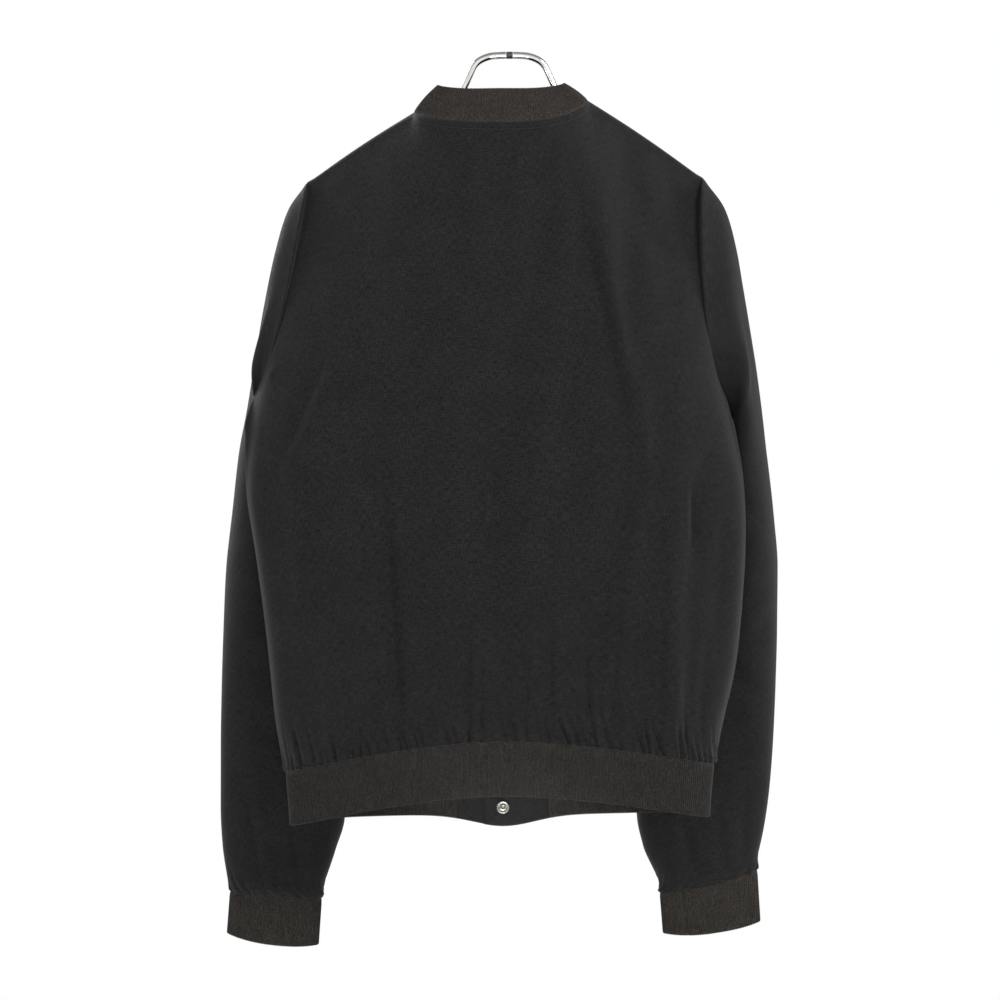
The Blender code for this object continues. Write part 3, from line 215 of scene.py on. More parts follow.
# Snaps, turned round their own axis: (radius, height) pairs, from the back to the front.
SNAP_RING_RADIUS = 6.2
CAP_PROFILE = (
    (0, -1.0),
    (7.2, -1.0),
    (7.2, -0.7),
    (6.9, 0.05),
    (5.9, 0.45),
    (4.6, 0.72),
    (3.0, 0.92),
    (1.4, 1.0),
    (0, 1.0),
)
RING_PROFILE = (
    (0, -0.65),
    (SNAP_RING_RADIUS, -0.65),
    (SNAP_RING_RADIUS, 0.0),
    (5.9, 0.4),
    (5.3, 0.62),
    (4.6, 0.45),
    (3.7, 0.25),
    (2.9, 0.3),
    (2.2, 0.6),
    (1.5, 0.55),
    (1.15, 0.2),
    (1.1, -0.4),
    (0, -0.4),
)
RING_MARKS, MARK_DEPTH = 6, 0.25  # pressed marks round the ring's face
MARK_PLACES = (0.5, 0.85)  # between these shares of its radius
SNAP_SIDES = 40
SHARP = math.radians(50)  # an edge sharper than this stays an edge
TINY = 1e-4

# Fine creases that the hanging cloth takes besides its largest folds, in the same columns.
BACK_CREASES = (
    (169, -295, 200, -363, 5, -2.4),
    (160, -292, 188, -352, 7, 1.6),
    (212, -292, 219, -302, 4, 1.8),
    (112, -421, 98, -640, 5.5, -3.0),
    (126, -424, 110, -600, 5, 1.1),
    (-164, -405, -165, -452, 3.4, -2.0),
    (-160, -400, -160, -455, 4, 1.0),
    (37, -530, 36, -634, 2.6, -2.2),
    (26, -556, 26, -632, 2.4, -2.2),
    (-36, -530, -37, -632, 3.4, -2.9),
    (-70, -545, -71, -636, 2.8, -2.7),
    (-61, -600, -60, -634, 2.4, -1.6),
    (29, -540, 29, -630, 4.2, 1.2),
    (-18, -545, -18, -628, 4.4, 1.1),
    (78, -520, 70, -638, 5, -1.3),
    (-98, -500, -90, -636, 4.6, -1.6),
    (-137, -520, -134, -646, 4.4, -2.8),
    (-152, -560, -148, -648, 5, 1.8),
    (150, -540, 146, -648, 4.2, -1.3),
    (178, -500, 172, -652, 5.5, -1.6),
    (-178, -540, -172, -648, 5, -1.5),
    (-58, -128, -80, -236, 5.5, -1.3),
    (-88, -205, -110, -330, 6, 1.5),
    (-76, -205, -99, -318, 5, -1.5),
    (-112, -360, -122, -440, 6, -1.1),
    (52, -84, 40, -118, 6, 0.9),
    (-46, -80, -42, -112, 6, 0.8),
    (104, -104, 92, -168, 8, -1.0),
    (148, -120, 168, -196, 9, -1.1),
    (-150, -122, -166, -205, 9, -1.0),
    (10, -120, 6, -300, 9, -0.8),
    (66, -200, 84, -330, 9, -0.8),
    (198, -380, 186, -520, 7, 1.4),
    (188, -400, 178, -540, 6, -1.3),
    (-190, -345, -168, -392, 6, -1.6),
    (-196, -420, -184, -560, 7, -1.2),
)
FRONT_CREASES = (
    (150, -300, 128, -390, 7, -1.8),
    (112, -430, 100, -640, 6, -1.5),
    (74, -180, 62, -330, 8, 1.2),
    (60, -420, 54, -648, 7, -1.2),
    (-140, -310, -122, -400, 7, -1.8),
    (-104, -440, -96, -640, 6, -1.6),
    (-66, -170, -58, -300, 8, 1.2),
    (-52, -430, -50, -648, 6, -1.2),
)
# On the sleeves, seen from behind and from the front.
SLEEVE_CREASES = {
    LEFT: (
        (236, -300, 262, -380, 8, -1.6),
        (214, -420, 262, -452, 7, -1.5),
        (262, -520, 214, -560, 8, 1.4),
        (258, -600, 196, -650, 8, -1.5),
        (176, -640, 222, -700, 7, -1.4),
        (262, -690, 214, -730, 6, 1.2),
        (246, -700, 232, -772, 4.6, -1.8),
        (204, -716, 196, -778, 4.2, -1.7),
        (184, -700, 188, -782, 4, 1.3),
        (222, -728, 218, -776, 3.6, -1.5),
        (201, -772, 226, -772, 1.7, -1.8),
        (200, -774, 200, -784, 1.7, -1.4),
        (227, -774, 227, -784, 1.7, -1.4),
    ),
    RIGHT: (
        (-226, -300, -246, -372, 8, -1.6),
        (-206, -410, -248, -446, 7, -1.5),
        (-250, -500, -206, -548, 8, 1.5),
        (-196, -560, -246, -610, 8, -1.5),
        (-152, -640, -206, -690, 7, -1.4),
        (-161, -712, -176, -764, 5, -3.2),
        (-152, -704, -164, -762, 5, 1.6),
        (-196, -700, -202, -762, 4.2, -1.6),
        (-222, -690, -220, -756, 4.4, -1.4),
    ),
}

# How each panel fades its folds, creases, swells and gathers beside its own seams, and how its edges roll up.
PANEL = {
    "back": {
        "folds": BACK_FOLDS,
        "creases": BACK_CREASES,
        "crease_fade": 6,
        "ripple_fade": 30,
        "gather_fade": 8,
        "side_roll": 1.1,
        "top_roll": 0.8,
        "ripple_seed": 4,
        "gather_seed": 7,
    },
    "front": {
        "folds": FRONT_FOLDS,
        "creases": FRONT_CREASES,
        "crease_fade": 12,
        "ripple_fade": 40,
        "gather_fade": 14,
        "side_roll": 0.9,
        "top_roll": 0.6,
        "ripple_seed": 11,
        "gather_seed": 21,
    },
}
# All panels alike: distances below the top edge and above the hem over which each kind grows.
FOLD_TOP, FOLD_HEM = 40, 8
CREASE_TOP, CREASE_HEM = 12, 4
RIPPLE_TOP, RIPPLE_HEM = 30, 20
BACK_FOLD_SIDE = 22  # and the back's folds beside its edges
FRONT_FOLD_SHARE = 0.12  # the front's grow over this share of its columns, that far from its edge
ROLL_AT = 2.4  # a sewn edge is highest this far from its seam
HEM_ROLL, SLEEVE_ROLL, LAP_ROLL = 1.1, 0.4, 0.3

# The hanging cloth settles between its seams: how many times it is evened out, how much of that its lower
# part takes, and the level from which it takes all of it.
BACK_SETTLE, BACK_SETTLE_LOW = 280, 0.1
FRONT_SETTLE, FRONT_SETTLE_LOW = 160, 0.15
SETTLE_FROM, SETTLE_OVER = 0.42, 0.2

# Soft swells: their height, number, lengths, and how they lean and stretch downwards.
RIPPLE, RIPPLE_WAVES, RIPPLE_LENGTHS, RIPPLE_LEAN, RIPPLE_DOWN = 0.6, 16, (26, 95), 0.5, 0.45

# Gathers above the knitted bands: mean distance, height and how far up they run.
HEM_GATHERS = {"pitch": 8.0, "height": 2.6, "reach": 24.0}
CUFF_GATHERS = {"pitch": 8.0, "height": 1.9, "reach": 16.0}
# Least and most of their own spacing, height, reach, lean and width, most of them as shares of those.
GATHER = {
    "spacing": (0.55, 1.6),
    "size": (0.35, 1.15),
    "reach": (0.4, 1.5),
    "lean": (-0.3, 0.1),
    "width": (0.15, 0.26),
}
PUFF_HEIGHT, PUFF_PLACE, PUFF_WIDTH = 0.45, 2.4, 1.4  # the round on each side of a gather's valley
GATHER_START = 2.0  # they grow over this height from the seam

# The sleeve's creases grow over these distances from armhole and cuff, in rings or millimetres.
SLEEVE_FOLD_RINGS = (2, 1.5)
SLEEVE_CREASE_TOP, SLEEVE_CREASE_HEM = 30, 3
SLEEVE_FRONT_SHARE = 0.7  # how much of them shows in front
CUFF_GATHER_START, CUFF_GATHER_BEHIND = 3, 1.13  # the gathers begin elsewhere behind than in front
SLEEVE_RIPPLE_SEED, CUFF_GATHER_SEED, CUFF_SWELL_SEED, HEM_SWELL_SEED = 31, 41, 51, 5

# Knitted bands.
RIB_PITCH, RIB_DEPTH = 2.2, 0.45
COLUMNS_PER_RIB, BAND_ROWS, FOLD_ROWS = 4, 10, 7
RIB_START = 3.0  # the ribs grow over this height from the seam
FOLD_RIB_SHARE = 0.8  # and are this high on the fold
HEM_DRAW_WIDTH = 100.0  # beside the hem tabs, over which the band comes to be drawn in
HEM_SWELL = 0.8  # how much of the soft swells it has
COLLAR_ROUND = (80.0, 55.0)  # half the neck's width and depth
COLLAR_HEIGHT = 34.0  # of its cut
COLLAR_SOFT = 24.0  # the points over which its top edge rounds its corners
COLLAR_DIP, COLLAR_DIP_ANGLE = 9.0, 38.0  # how far its right corner has sunk, and over how many degrees
CUFF_SEAM = {LEFT: (217.0, 212.0), RIGHT: (-164.0, -168.6)}  # x at its top and bottom, behind
CUFF_GROOVE_WIDTH, CUFF_GROOVE_DEPTH, CUFF_GROOVE_START = 1.3, 1.0, 0.05
CUFF_SWELL_START = 0.4  # the swells grow over this much of the way round from its edges
TAB_OVER = 0.9  # the hem tabs lie this far over the band's ends

# Sewing.
STITCH_PITCH, STITCH_LENGTH, STITCH_WIDTH = 3.0, 2.2, 0.5
NECK_STITCH = 7.5  # below the collar seam
NECK_STITCH_END = 3.0  # and as far from the shoulder seams
EDGE_STITCH = 1.8  # from the edges of the plackets
NECK_STITCH_OUT, EDGE_STITCH_OUT = 0.2, 0.3  # how far they lie on the cloth

# Fineness of the cloth shells.
BACK_COLUMNS, FRONT_COLUMNS, SLEEVE_COLUMNS = 172, 120, 104
BODY_STRETCHES = ((0, 0.03, 10), (0.03, 0.12, 16), (0.12, 0.6, 52), (0.6, 1, 48))  # from, to, rows
SLEEVE_STRETCHES = ((0, 0.4, 10), (0.4, 15.0, 172), (15.0, LAST_RING, 18))
BODY_LEVELS, SLEEVE_RINGS = (
    np.unique(np.concatenate([np.linspace(*stretch) for stretch in stretches]))
    for stretches in (BODY_STRETCHES, SLEEVE_STRETCHES)
)
MEASURED_LEVEL = 0.35  # the body's level at which its columns are spaced evenly
EDGE_DENSER = 0.2  # how much closer they lie beside an edge

# Net cut of each sheet, in metres, and its area.
CUT = {
    "back": ((0.47, 0.61), 0.265),
    "front": ((0.26, 0.57), 0.133),
    "sleeve": ((0.35, 0.66), 0.172),
    "placket": ((0.036, 0.56), None),
    "hem_tab": ((0.061, 0.049), None),
}
LAP_FILLED = 0.98  # how much of its cut a placket or a hem tab fills

# Studio, in metres.
CAMERA_PLACE, CAMERA_LENS = (0.00874, 2.6, -0.4126), 101.7
MIDDLE = (0.0, 0.0, -0.42)
LAMPS = {  # place, what it shines at, size, power and the angle of its beam
    "key": ((-1.5, 1.7, 1.2), MIDDLE, 1.2, 86, 180),
    "fill": ((1.9, 1.9, 0.1), MIDDLE, 1.2, 34, 180),
    "low fill": ((0.0, 2.0, -1.25), (0.0, 0.0, -0.72), 0.7, 12, 180),
    "bounce into the hem": ((0.0, 0.2, -0.96), (0.0, -0.06, -0.69), 0.16, 0.22, 36),
    "front key": ((1.5, -2.2, 0.8), MIDDLE, 1.4, 60, 180),
    "rim left": ((2.0, -0.1, 0.3), MIDDLE, 1.0, 16, 180),
    "rim right": ((-2.0, -0.1, 0.3), MIDDLE, 1.0, 26, 180),
}
# White walls all round, with a dimmer ceiling and ground, which give the rod its dark lines.
WALLS = {"From Min": 0.3, "From Max": 0.75, "To Min": 1.0, "To Max": 0.3}
FLOOR_RADIUS, FLOOR_Z = 0.6, -1.0


# ---------------------------------------------------------------- curves and the jacket's form


def through(xs, ys, x):
    """A smooth curve through the points (xs, ys) that never overshoots them, read at x."""
    xs, ys = np.asarray(xs, float), np.asarray(ys, float)
    x = np.clip(np.asarray(x, float), xs[0], xs[-1])
    width, rise = np.diff(xs), np.diff(ys) / np.diff(xs)
    slope = np.zeros(len(xs))
    same = rise[1:] * rise[:-1] > 0
    slope[1:-1][same] = 2 * (rise[1:] * rise[:-1])[same] / (rise[1:] + rise[:-1])[same]
    slope[0], slope[-1] = rise[0], rise[-1]
    i = np.clip(np.searchsorted(xs, x, side="right") - 1, 0, len(width) - 1)
    h, f = width[i], (x - xs[i]) / width[i]
    start = ys[i] * (1 + 2 * f) * (1 - f) ** 2 + slope[i] * h * f * (1 - f) ** 2
    end = ys[i + 1] * f**2 * (3 - 2 * f) - slope[i + 1] * h * f**2 * (1 - f)
    return start + end


def ease(f):
    """0 to 1 with a soft start and end."""
    f = np.clip(f, 0, 1)
    return f * f * (3 - 2 * f)


def spline(points, count=12):
    """A smooth line through the points, as many points on each stretch."""
    points = [np.asarray(p, float) for p in points]
    ends = [2 * points[0] - points[1], *points, 2 * points[-1] - points[-2]]
    line = []
    for a, b, c, d in zip(ends, ends[1:], ends[2:], ends[3:]):
        square, cube = 2 * a - 5 * b + 4 * c - d, 3 * b - a - 3 * c + d
        for f in np.arange(count) / count:
            line.append(0.5 * (2 * b + (c - a) * f + square * f**2 + cube * f**3))
    return np.array([*line, points[-1]])


def at_fraction(line, fraction):
    """Points at these fractions of a line's length."""
    lengths = np.concatenate([[0], np.cumsum(np.linalg.norm(np.diff(line, axis=0), axis=1))])
    wanted = np.asarray(fraction, float) * lengths[-1]
    return np.stack([np.interp(wanted, lengths, line[:, k]) for k in range(line.shape[1])], axis=-1)


def fold_height(folds, x, z):
    """How far the folds move the cloth out at (x, z)."""
    total = np.zeros(np.broadcast(x, z).shape)
    for fold in folds:
        row = dict(zip(FOLD_COLUMNS, fold))
        along = np.array([row["x2"] - row["x1"], row["z2"] - row["z1"]], float)
        length = np.linalg.norm(along)
        along /= length
        dx, dz = x - row["x1"], z - row["z1"]
        place = (dx * along[0] + dz * along[1]) / length
        across = dx * along[1] - dz * along[0]
        ends = ease((place + 0.25) / 0.5) * ease((1.25 - place) / 0.5)
        total = total + row["depth"] * ends * np.exp(-((across / row["width"]) ** 2))
    return total


def armhole(side, angle):
    """A point of the armhole seam. The angle is 0 at the shoulder, grows backwards, and is pi underarm."""
    point = POINTS[side]
    shoulder, underarm = np.array(point["shoulder"]), np.array(point["underarm"])
    angle = np.asarray(angle, float)
    down = (1 - np.cos(angle)) / 2
    reach = np.where(np.sin(angle) > 0, ARMHOLE_BACK, ARMHOLE_FRONT) * np.sin(angle)
    hollow = point["armhole_hollow"] * np.abs(np.sin(angle)) * (1 - point["armhole_skew"] * down)
    x = shoulder[0] + (underarm[0] - shoulder[0]) * down - hollow
    y = shoulder[1] + (underarm[1] - shoulder[1]) * down + reach
    z = shoulder[2] + (underarm[2] - shoulder[2]) * down
    return np.stack([x, y, z], axis=-1)


def body_edge(side, level, back):
    """The body panel's outer edge: the side fold up to the underarm, then the armhole."""
    point = POINTS[side]
    if level >= UNDERARM_LEVEL:
        angle = math.pi * (1 - level) / (1 - UNDERARM_LEVEL)
        return armhole(side, angle if back else -angle)
    low, high = point["hem_z"], point["underarm"][2]
    z = low + (high - low) * level / UNDERARM_LEVEL
    column = "left_x" if side == LEFT else "right_x"
    x = through((*SIDE["z"], high), (*SIDE[column], point["underarm"][0]), z)
    y = through((*SIDE["z"], high), (*SIDE["y"], point["underarm"][1]), z)
    return np.array([float(x), float(y), z])


@lru_cache(maxsize=None)
def mean_height(level):
    """The height of a level at the body's edges, the mean of both sides."""
    return (body_edge(LEFT, level, True)[2] + body_edge(RIGHT, level, True)[2]) / 2


def height_share(level):
    """How far up a level lies between hem and shoulder, 0 to 1."""
    low, high = mean_height(0.0), mean_height(1.0)
    return (mean_height(level) - low) / (high - low)


def section_size(name, level):
    """One of the body section's sizes at a level."""
    return float(through(SECTION["z"], SECTION[name], mean_height(level)))


def hem_z(side, x, back):
    """The height of the hem seam at a distance x from the centre line."""
    edge = POINTS[side]["hem_z"]
    share = np.clip(np.abs(x) / 200.0, 0, 1)
    if back:
        return BACK_HEM_Z + (edge - BACK_HEM_Z) * share**1.7
    drop = FRONT_HEM_DROP * np.exp(-((x / FRONT_HEM_DROP_WIDTH) ** 2))
    return FRONT_HEM_Z + (edge - FRONT_HEM_Z) * share**2 - drop


def neck_share(side):
    """The neck point's place along the back's columns, which run from 1 at the edge to 0 at the centre."""
    return POINTS[side]["neck"][0] / POINTS[side]["shoulder"][0]


def back_top(side, share):
    """The back's top edge: the shoulder seam and, inside the neck point, the neck seam."""
    point = POINTS[side]
    neck, shoulder = np.array(point["neck"]), np.array(point["shoulder"])
    inner = neck_share(side)
    x = shoulder[0] * share
    along = np.clip((share - inner) / (1 - inner), 0, 1)
    seam_y = neck[1] + (shoulder[1] - neck[1]) * along
    seam_z = neck[2] + (shoulder[2] - neck[2]) * along + SHOULDER_ROUND * np.sin(math.pi * along)
    round_in = np.clip(1 - np.clip(share / inner, 0, 1) ** BACK_ROUND, 0, 1) ** (1 / BACK_ROUND)
    neck_y = BACK_NECK_Y * round_in
    neck_z = neck[2] + (BACK_NECK_Z - neck[2]) * round_in**1.4
    outside = share >= inner
    return np.stack([x, np.where(outside, seam_y, neck_y), np.where(outside, seam_z, neck_z)], axis=-1)


def front_top(side, share):
    """The front's top edge: the shoulder seam and then the front neck seam."""
    point = POINTS[side]
    neck, shoulder = np.array(point["neck"]), np.array(point["shoulder"])
    along = np.clip(share / FRONT_NECK_SHARE, 0, 1)
    turn = np.clip((share - FRONT_NECK_SHARE) / (1 - FRONT_NECK_SHARE), 0, 1) * math.pi / 2
    seam = shoulder + (neck - shoulder) * along[..., None]
    seam[..., 2] += SHOULDER_ROUND * np.sin(math.pi * along)
    x = neck[0] * np.cos(turn)
    y = neck[1] + (FRONT_NECK_Y - neck[1]) * np.sin(turn) ** 1.2
    z = neck[2] + (FRONT_NECK_Z - neck[2]) * np.sin(turn) ** 1.5
    curve = np.stack([x, y, z], axis=-1)
    return np.where((share < FRONT_NECK_SHARE)[..., None], seam, curve)


def top_weight(share):
    """How much a row keeps the top edge's shape, from 1 at the top to 0 a quarter of the way down."""
    return 1 - math.sin(min(1, (1 - share) / 0.26) * math.pi / 2) ** 1.2


def back_form(side, share, level):
    """The back without its folds. share runs from 1 at the edge to 0 at the centre line."""
    share = np.asarray(share, float)
    edge, up = body_edge(side, level, True), height_share(level)
    top, keep = back_top(side, share), top_weight(up)
    z = hem_z(side, share * edge[0], True)
    z = z + (top[:, 2] - z) * up
    edge_top, edge_hem = POINTS[side]["shoulder"][2], hem_z(side, edge[0], True)
    z = z + (edge[2] - edge_hem - (edge_top - edge_hem) * up) * share**3
    # The round of the neck widens downwards until it is the whole back.
    wide = keep * neck_share(side) + (1 - keep)
    round_in = np.clip(1 - np.clip(share / wide, 0, 1) ** BACK_ROUND, 0, 1) ** (1 / BACK_ROUND)
    armhole_part = ease((level - UNDERARM_LEVEL - 0.06) / 0.1)
    start = armhole_part * edge[1] + (1 - armhole_part) * section_size("round_y", level)
    depth = keep * BACK_NECK_Y + (1 - keep) * section_size("back_y", level) - start
    # The edge's own way in and out, as at the underarm, shows only near it.
    y = start + depth * round_in + (edge[1] - start) * share**9
    return np.stack([edge[0] * share, y, z], axis=-1)


@lru_cache(maxsize=None)
def front_section(side, level):
    """The front's section at a level, as a smooth line from its outer edge to the centre line."""
    edge = body_edge(side, level, False)
    size = {name: section_size(name, level) for name in ("tuck_x", "tuck_y", "flank_x", "flank_y", "front_y")}
    middle = (0.42 * size["flank_x"], size["front_y"] + 2.0)
    line = spline(
        [
            edge[:2],
            (size["tuck_x"], size["tuck_y"]),
            (size["flank_x"], size["flank_y"]),
            middle,
            (0.0, size["front_y"]),
            (-middle[0], middle[1]),
        ]
    )
    return line[line[:, 0] >= -TINY]


def front_form(side, share, level):
    """The front without its folds. share runs from 0 at the outer edge to 1 at the centre line."""
    share = np.asarray(share, float)
    edge, up = body_edge(side, level, False), height_share(level)
    section = at_fraction(front_section(side, level), share)
    top, keep = front_top(side, share), top_weight(up)
    low = at_fraction(front_section(side, 0.0), share)
    z = hem_z(side, low[:, 0], False)
    z = z + (top[:, 2] - z) * up
    shoulder = POINTS[side]["shoulder"]
    edge_hem = hem_z(side, body_edge(side, 0.0, False)[0], False)
    z = z + (edge[2] - edge_hem - (shoulder[2] - edge_hem) * up) * (1 - share) ** 3
    x = (1 - keep) * section[:, 0] + keep * top[:, 0] * edge[0] / shoulder[0]
    y = (1 - keep) * section[:, 1] + keep * (top[:, 1] + edge[1] * (1 - share) ** 3)
    return np.stack([x, y, z], axis=-1)


@lru_cache(maxsize=None)
def front_widths(side, level):
    """Columns of the front near its centre line at a level, and how far from that line they lie."""
    shares = np.linspace(0.5, 1.0, 60)
    return shares, front_form(side, shares, level)[:, 0]


def front_share_at(side, x, level):
    """The columns of the front that lie this far from the centre line."""
    shares, widths = front_widths(side, level)
    return np.interp(-x, -widths, shares)


def world(points, side):
    """Counted from the jacket's centre line on one side, to the part's own frame."""
    points = np.array(points, float)
    points[..., 0] = CENTRE_X + side * points[..., 0]
    return points


def lap_ahead(x):
    """How far ahead the upper layer lies, at x from the centre line: all at the lap, none further out."""
    return LAP_OUT * ease(1 - (x - OVERLAP) / LAP_RAMP)


def sleeve_ends(side):
    """The sleeve's sizes at the armhole and at the cuff."""
    point, cuff = POINTS[side], CUFF[side]
    shoulder, underarm = point["shoulder"], point["underarm"]
    return {
        "outer_z": (shoulder[2], cuff["outer"][1]),
        "inner_z": (underarm[2], cuff["inner"][1]),
        "outer": (shoulder[0], cuff["outer"][0]),
        "inner": (underarm[0], cuff["inner"][0]),
        "outer_y": (shoulder[1], CUFF_Y),
        "inner_y": (underarm[1], CUFF_Y),
        "back": (ARMHOLE_BACK, CUFF_DEPTH),
        "front": (ARMHOLE_FRONT, CUFF_DEPTH),
        "rear_out": (0.0, 0.0),
    }


def sleeve_size(side, name, ring, ends):
    """One of the sleeve's sizes at a ring, counted from 0 at the armhole to the last one at the cuff."""
    first, last = ends
    column = f"{NAMES[side]}_{name}" if name in ("outer", "inner") else name
    values = np.array(SLEEVE[column], float)
    if name.endswith("_z"):
        # The table ends as high above the cuff seam on either side.
        shift = last + SLEEVE_END_RISE - values[-1]
        values = values + shift * ease((np.arange(len(values)) - len(values) + 7) / 6)
    places = [*range(len(values) + 1), len(values) + CUFF_RINGS]
    return through(places, (first, *values, last), ring)


def sleeve_form(side, places, ring):
    """The sleeve without its creases, at places from 0 to 1 round it, from outside and going backwards."""
    angle = np.asarray(places, float) * 2 * math.pi
    size = {name: sleeve_size(side, name, ring, ends) for name, ends in sleeve_ends(side).items()}
    power = 2 / (2 + (SLEEVE_SQUARE - 2) * np.minimum(1, ring / 3))
    cos = np.sign(np.cos(angle)) * np.abs(np.cos(angle)) ** power
    sin = np.sign(np.sin(angle)) * np.abs(np.sin(angle)) ** power
    down = (1 - cos) / 2
    point = POINTS[side]
    hollow = point["armhole_hollow"] * np.abs(np.sin(angle)) * (1 - point["armhole_skew"] * down)
    x = size["outer"] + (size["inner"] - size["outer"]) * down - hollow * (1 - ease(ring / 4))
    lean = np.where(down < 0.5, REAR_LEAN_OUTER, REAR_LEAN_INNER)
    rear = np.clip(sin, 0, 1) ** REAR_SQUARE * (REAR_MIDDLE + lean * (down - 0.5))
    x = x + size["rear_out"] * rear
    y = size["outer_y"] + (size["inner_y"] - size["outer_y"]) * down
    y = y + np.where(sin > 0, size["back"], size["front"]) * sin
    z = size["outer_z"] + (size["inner_z"] - size["outer_z"]) * down
    return np.stack([x, y, z], axis=-1)


def crease_height(side, places, z):
    """How far the sleeve's creases move the cloth out."""
    total = np.zeros(len(places))
    degrees = places * 360
    for k in range(len(SLEEVE_FOLDS["z"])):
        row = {name: column[k] for name, column in SLEEVE_FOLDS.items()}
        slant = (z - row["z"]) * 0.25 * side
        turn = (degrees - row["angle"] - slant + 180) % 360 - 180
        away = (z - row["z"]) / (row["length"] / 2)
        total += row["depth"] * np.exp(-((turn / row["width"]) ** 2) - away**2)
    return total


# ---------------------------------------------------------------- grids of points


def distance_along(grid, axis):
    """How far each point of a grid lies along its row (axis 1) or column (axis 0) from the first one."""
    steps = np.linalg.norm(np.diff(grid, axis=axis), axis=2)
    start = np.zeros_like(np.take(steps, [0], axis=axis))
    return np.cumsum(np.concatenate([start, steps], axis=axis), axis=axis)


def grid_normals(grid, ring=False):
    """Unit normals of a grid of points, the same way round all over it."""
    if ring:
        across = np.roll(grid, -1, axis=1) - np.roll(grid, 1, axis=1)
    else:
        across = np.gradient(grid, axis=1)
    normal = np.cross(across, np.gradient(grid, axis=0))
    return normal / np.maximum(np.linalg.norm(normal, axis=2), 1e-9)[..., None]


def roll(distance, height):
    """A sewn edge's rise, nothing at the seam and highest a little beside it."""
    near = np.clip(distance, 0, None) / ROLL_AT
    return height * near * np.exp(1 - near)


def ripple(x, z, seed):
    """Soft uneven swells of a few centimetres."""
    random = np.random.default_rng(seed)
    total = np.zeros(np.broadcast(x, z).shape)
    for _ in range(RIPPLE_WAVES):
        length = random.uniform(*RIPPLE_LENGTHS)
        turn = random.uniform(-RIPPLE_LEAN, RIPPLE_LEAN)
        start = random.uniform(0, 2 * math.pi)
        place = x * math.cos(turn) + z * RIPPLE_DOWN * math.sin(turn)
        total += np.sin(place * 2 * math.pi / length + start)
    return RIPPLE * total / 3


def gather_height(along, above, seed, pitch, height, reach):
    """Uneven gathers, for distances along the seam and above it."""
    random = np.random.default_rng(seed)
    total, place = np.zeros(along.shape), 0.0
    while place < along.max():
        place += pitch * random.uniform(*GATHER["spacing"])
        size = height * random.uniform(*GATHER["size"])
        length = reach * random.uniform(*GATHER["reach"])
        lean = random.uniform(*GATHER["lean"])
        width = pitch * random.uniform(*GATHER["width"])
        away = (along - place - lean * above) / width
        valley = np.exp(-(away**2))
        puff = np.exp(-(((np.abs(away) - PUFF_PLACE) / PUFF_WIDTH) ** 2))
        total += size * (PUFF_HEIGHT * puff - valley) * np.exp(-((above / length) ** 2))
    return total * ease(above / GATHER_START)


def settle(grid, times, least):
    """Lets the cloth between its sewn edges settle into smooth rounds, above all round the armholes."""
    weight = (least + (1 - least) * ease((BODY_LEVELS - SETTLE_FROM) / SETTLE_OVER))[1:-1, None, None]
    for _ in range(times):
        middle = (grid[:-2, 1:-1] + grid[2:, 1:-1] + grid[1:-1, :-2] + grid[1:-1, 2:]) / 4
        grid[1:-1, 1:-1] += weight * (middle - grid[1:-1, 1:-1])
    return grid


def softened(line, spread):
    """A line with its corners rounded over this many of its points, its ends kept."""
    reach = int(3 * spread)
    weights = np.exp(-((np.arange(-reach, reach + 1) / spread) ** 2) / 2)
    weights /= weights.sum()
    before = 2 * line[0] - line[reach:0:-1]
    after = 2 * line[-1] - line[-2 : -reach - 2 : -1]
    longer = np.concatenate([before, line, after])
    return np.stack([np.convolve(longer[:, k], weights, "valid") for k in range(line.shape[1])], axis=-1)


# ---------------------------------------------------------------- meshes


def linked(name, data):
    """A new object in the scene, at the origin, for a mesh, a lamp or a camera."""
    made = bpy.data.objects.new(name, data)
    bpy.context.scene.collection.objects.link(made)
    return made


def grid_object(name, grid, outward, ring=False, caps=False, across=None):
    """A grid of points as one smooth mesh with its own UV map in metres, its faces turned outward."""
    rows, count = grid.shape[:2]
    index = np.arange(rows * count).reshape(rows, count)
    shown = np.concatenate([grid, grid[:, :1]], axis=1) if ring else grid
    if ring:
        index = np.concatenate([index, index[:, :1]], axis=1)
    place = np.arange(index.size).reshape(index.shape)

    def quads(of):
        return np.stack([of[:-1, :-1], of[:-1, 1:], of[1:, 1:], of[1:, :-1]], axis=-1).reshape(-1, 4)

    faces, corners = quads(index), quads(place)
    if np.sum(grid_normals(grid, ring) * outward) < 0:
        faces, corners = faces[:, ::-1], corners[:, ::-1]
    u = np.broadcast_to(distance_along(shown, 1).mean(axis=0), index.shape).ravel()
    v = np.broadcast_to(distance_along(shown, 0).mean(axis=1)[:, None], index.shape).ravel()
    every = faces.tolist()
    if caps:
        every += [index[:, 0].tolist(), index[::-1, -1].tolist()]
    mesh = bpy.data.meshes.new(name)
    mesh.from_pydata((grid.reshape(-1, 3) * MM).tolist(), [], every)
    uv = mesh.uv_layers.new(name="cut")
    flat = np.zeros((len(mesh.loops), 2))
    flat[: corners.size] = np.stack([u, v], axis=-1)[corners.ravel()] * MM
    uv.data.foreach_set("uv", flat.ravel())
    if across is not None:
        for label, values in across.items():
            mesh.attributes.new(label, "FLOAT", "POINT").data.foreach_set("value", values.ravel())
    mesh.shade_smooth()
    return linked(name, mesh)


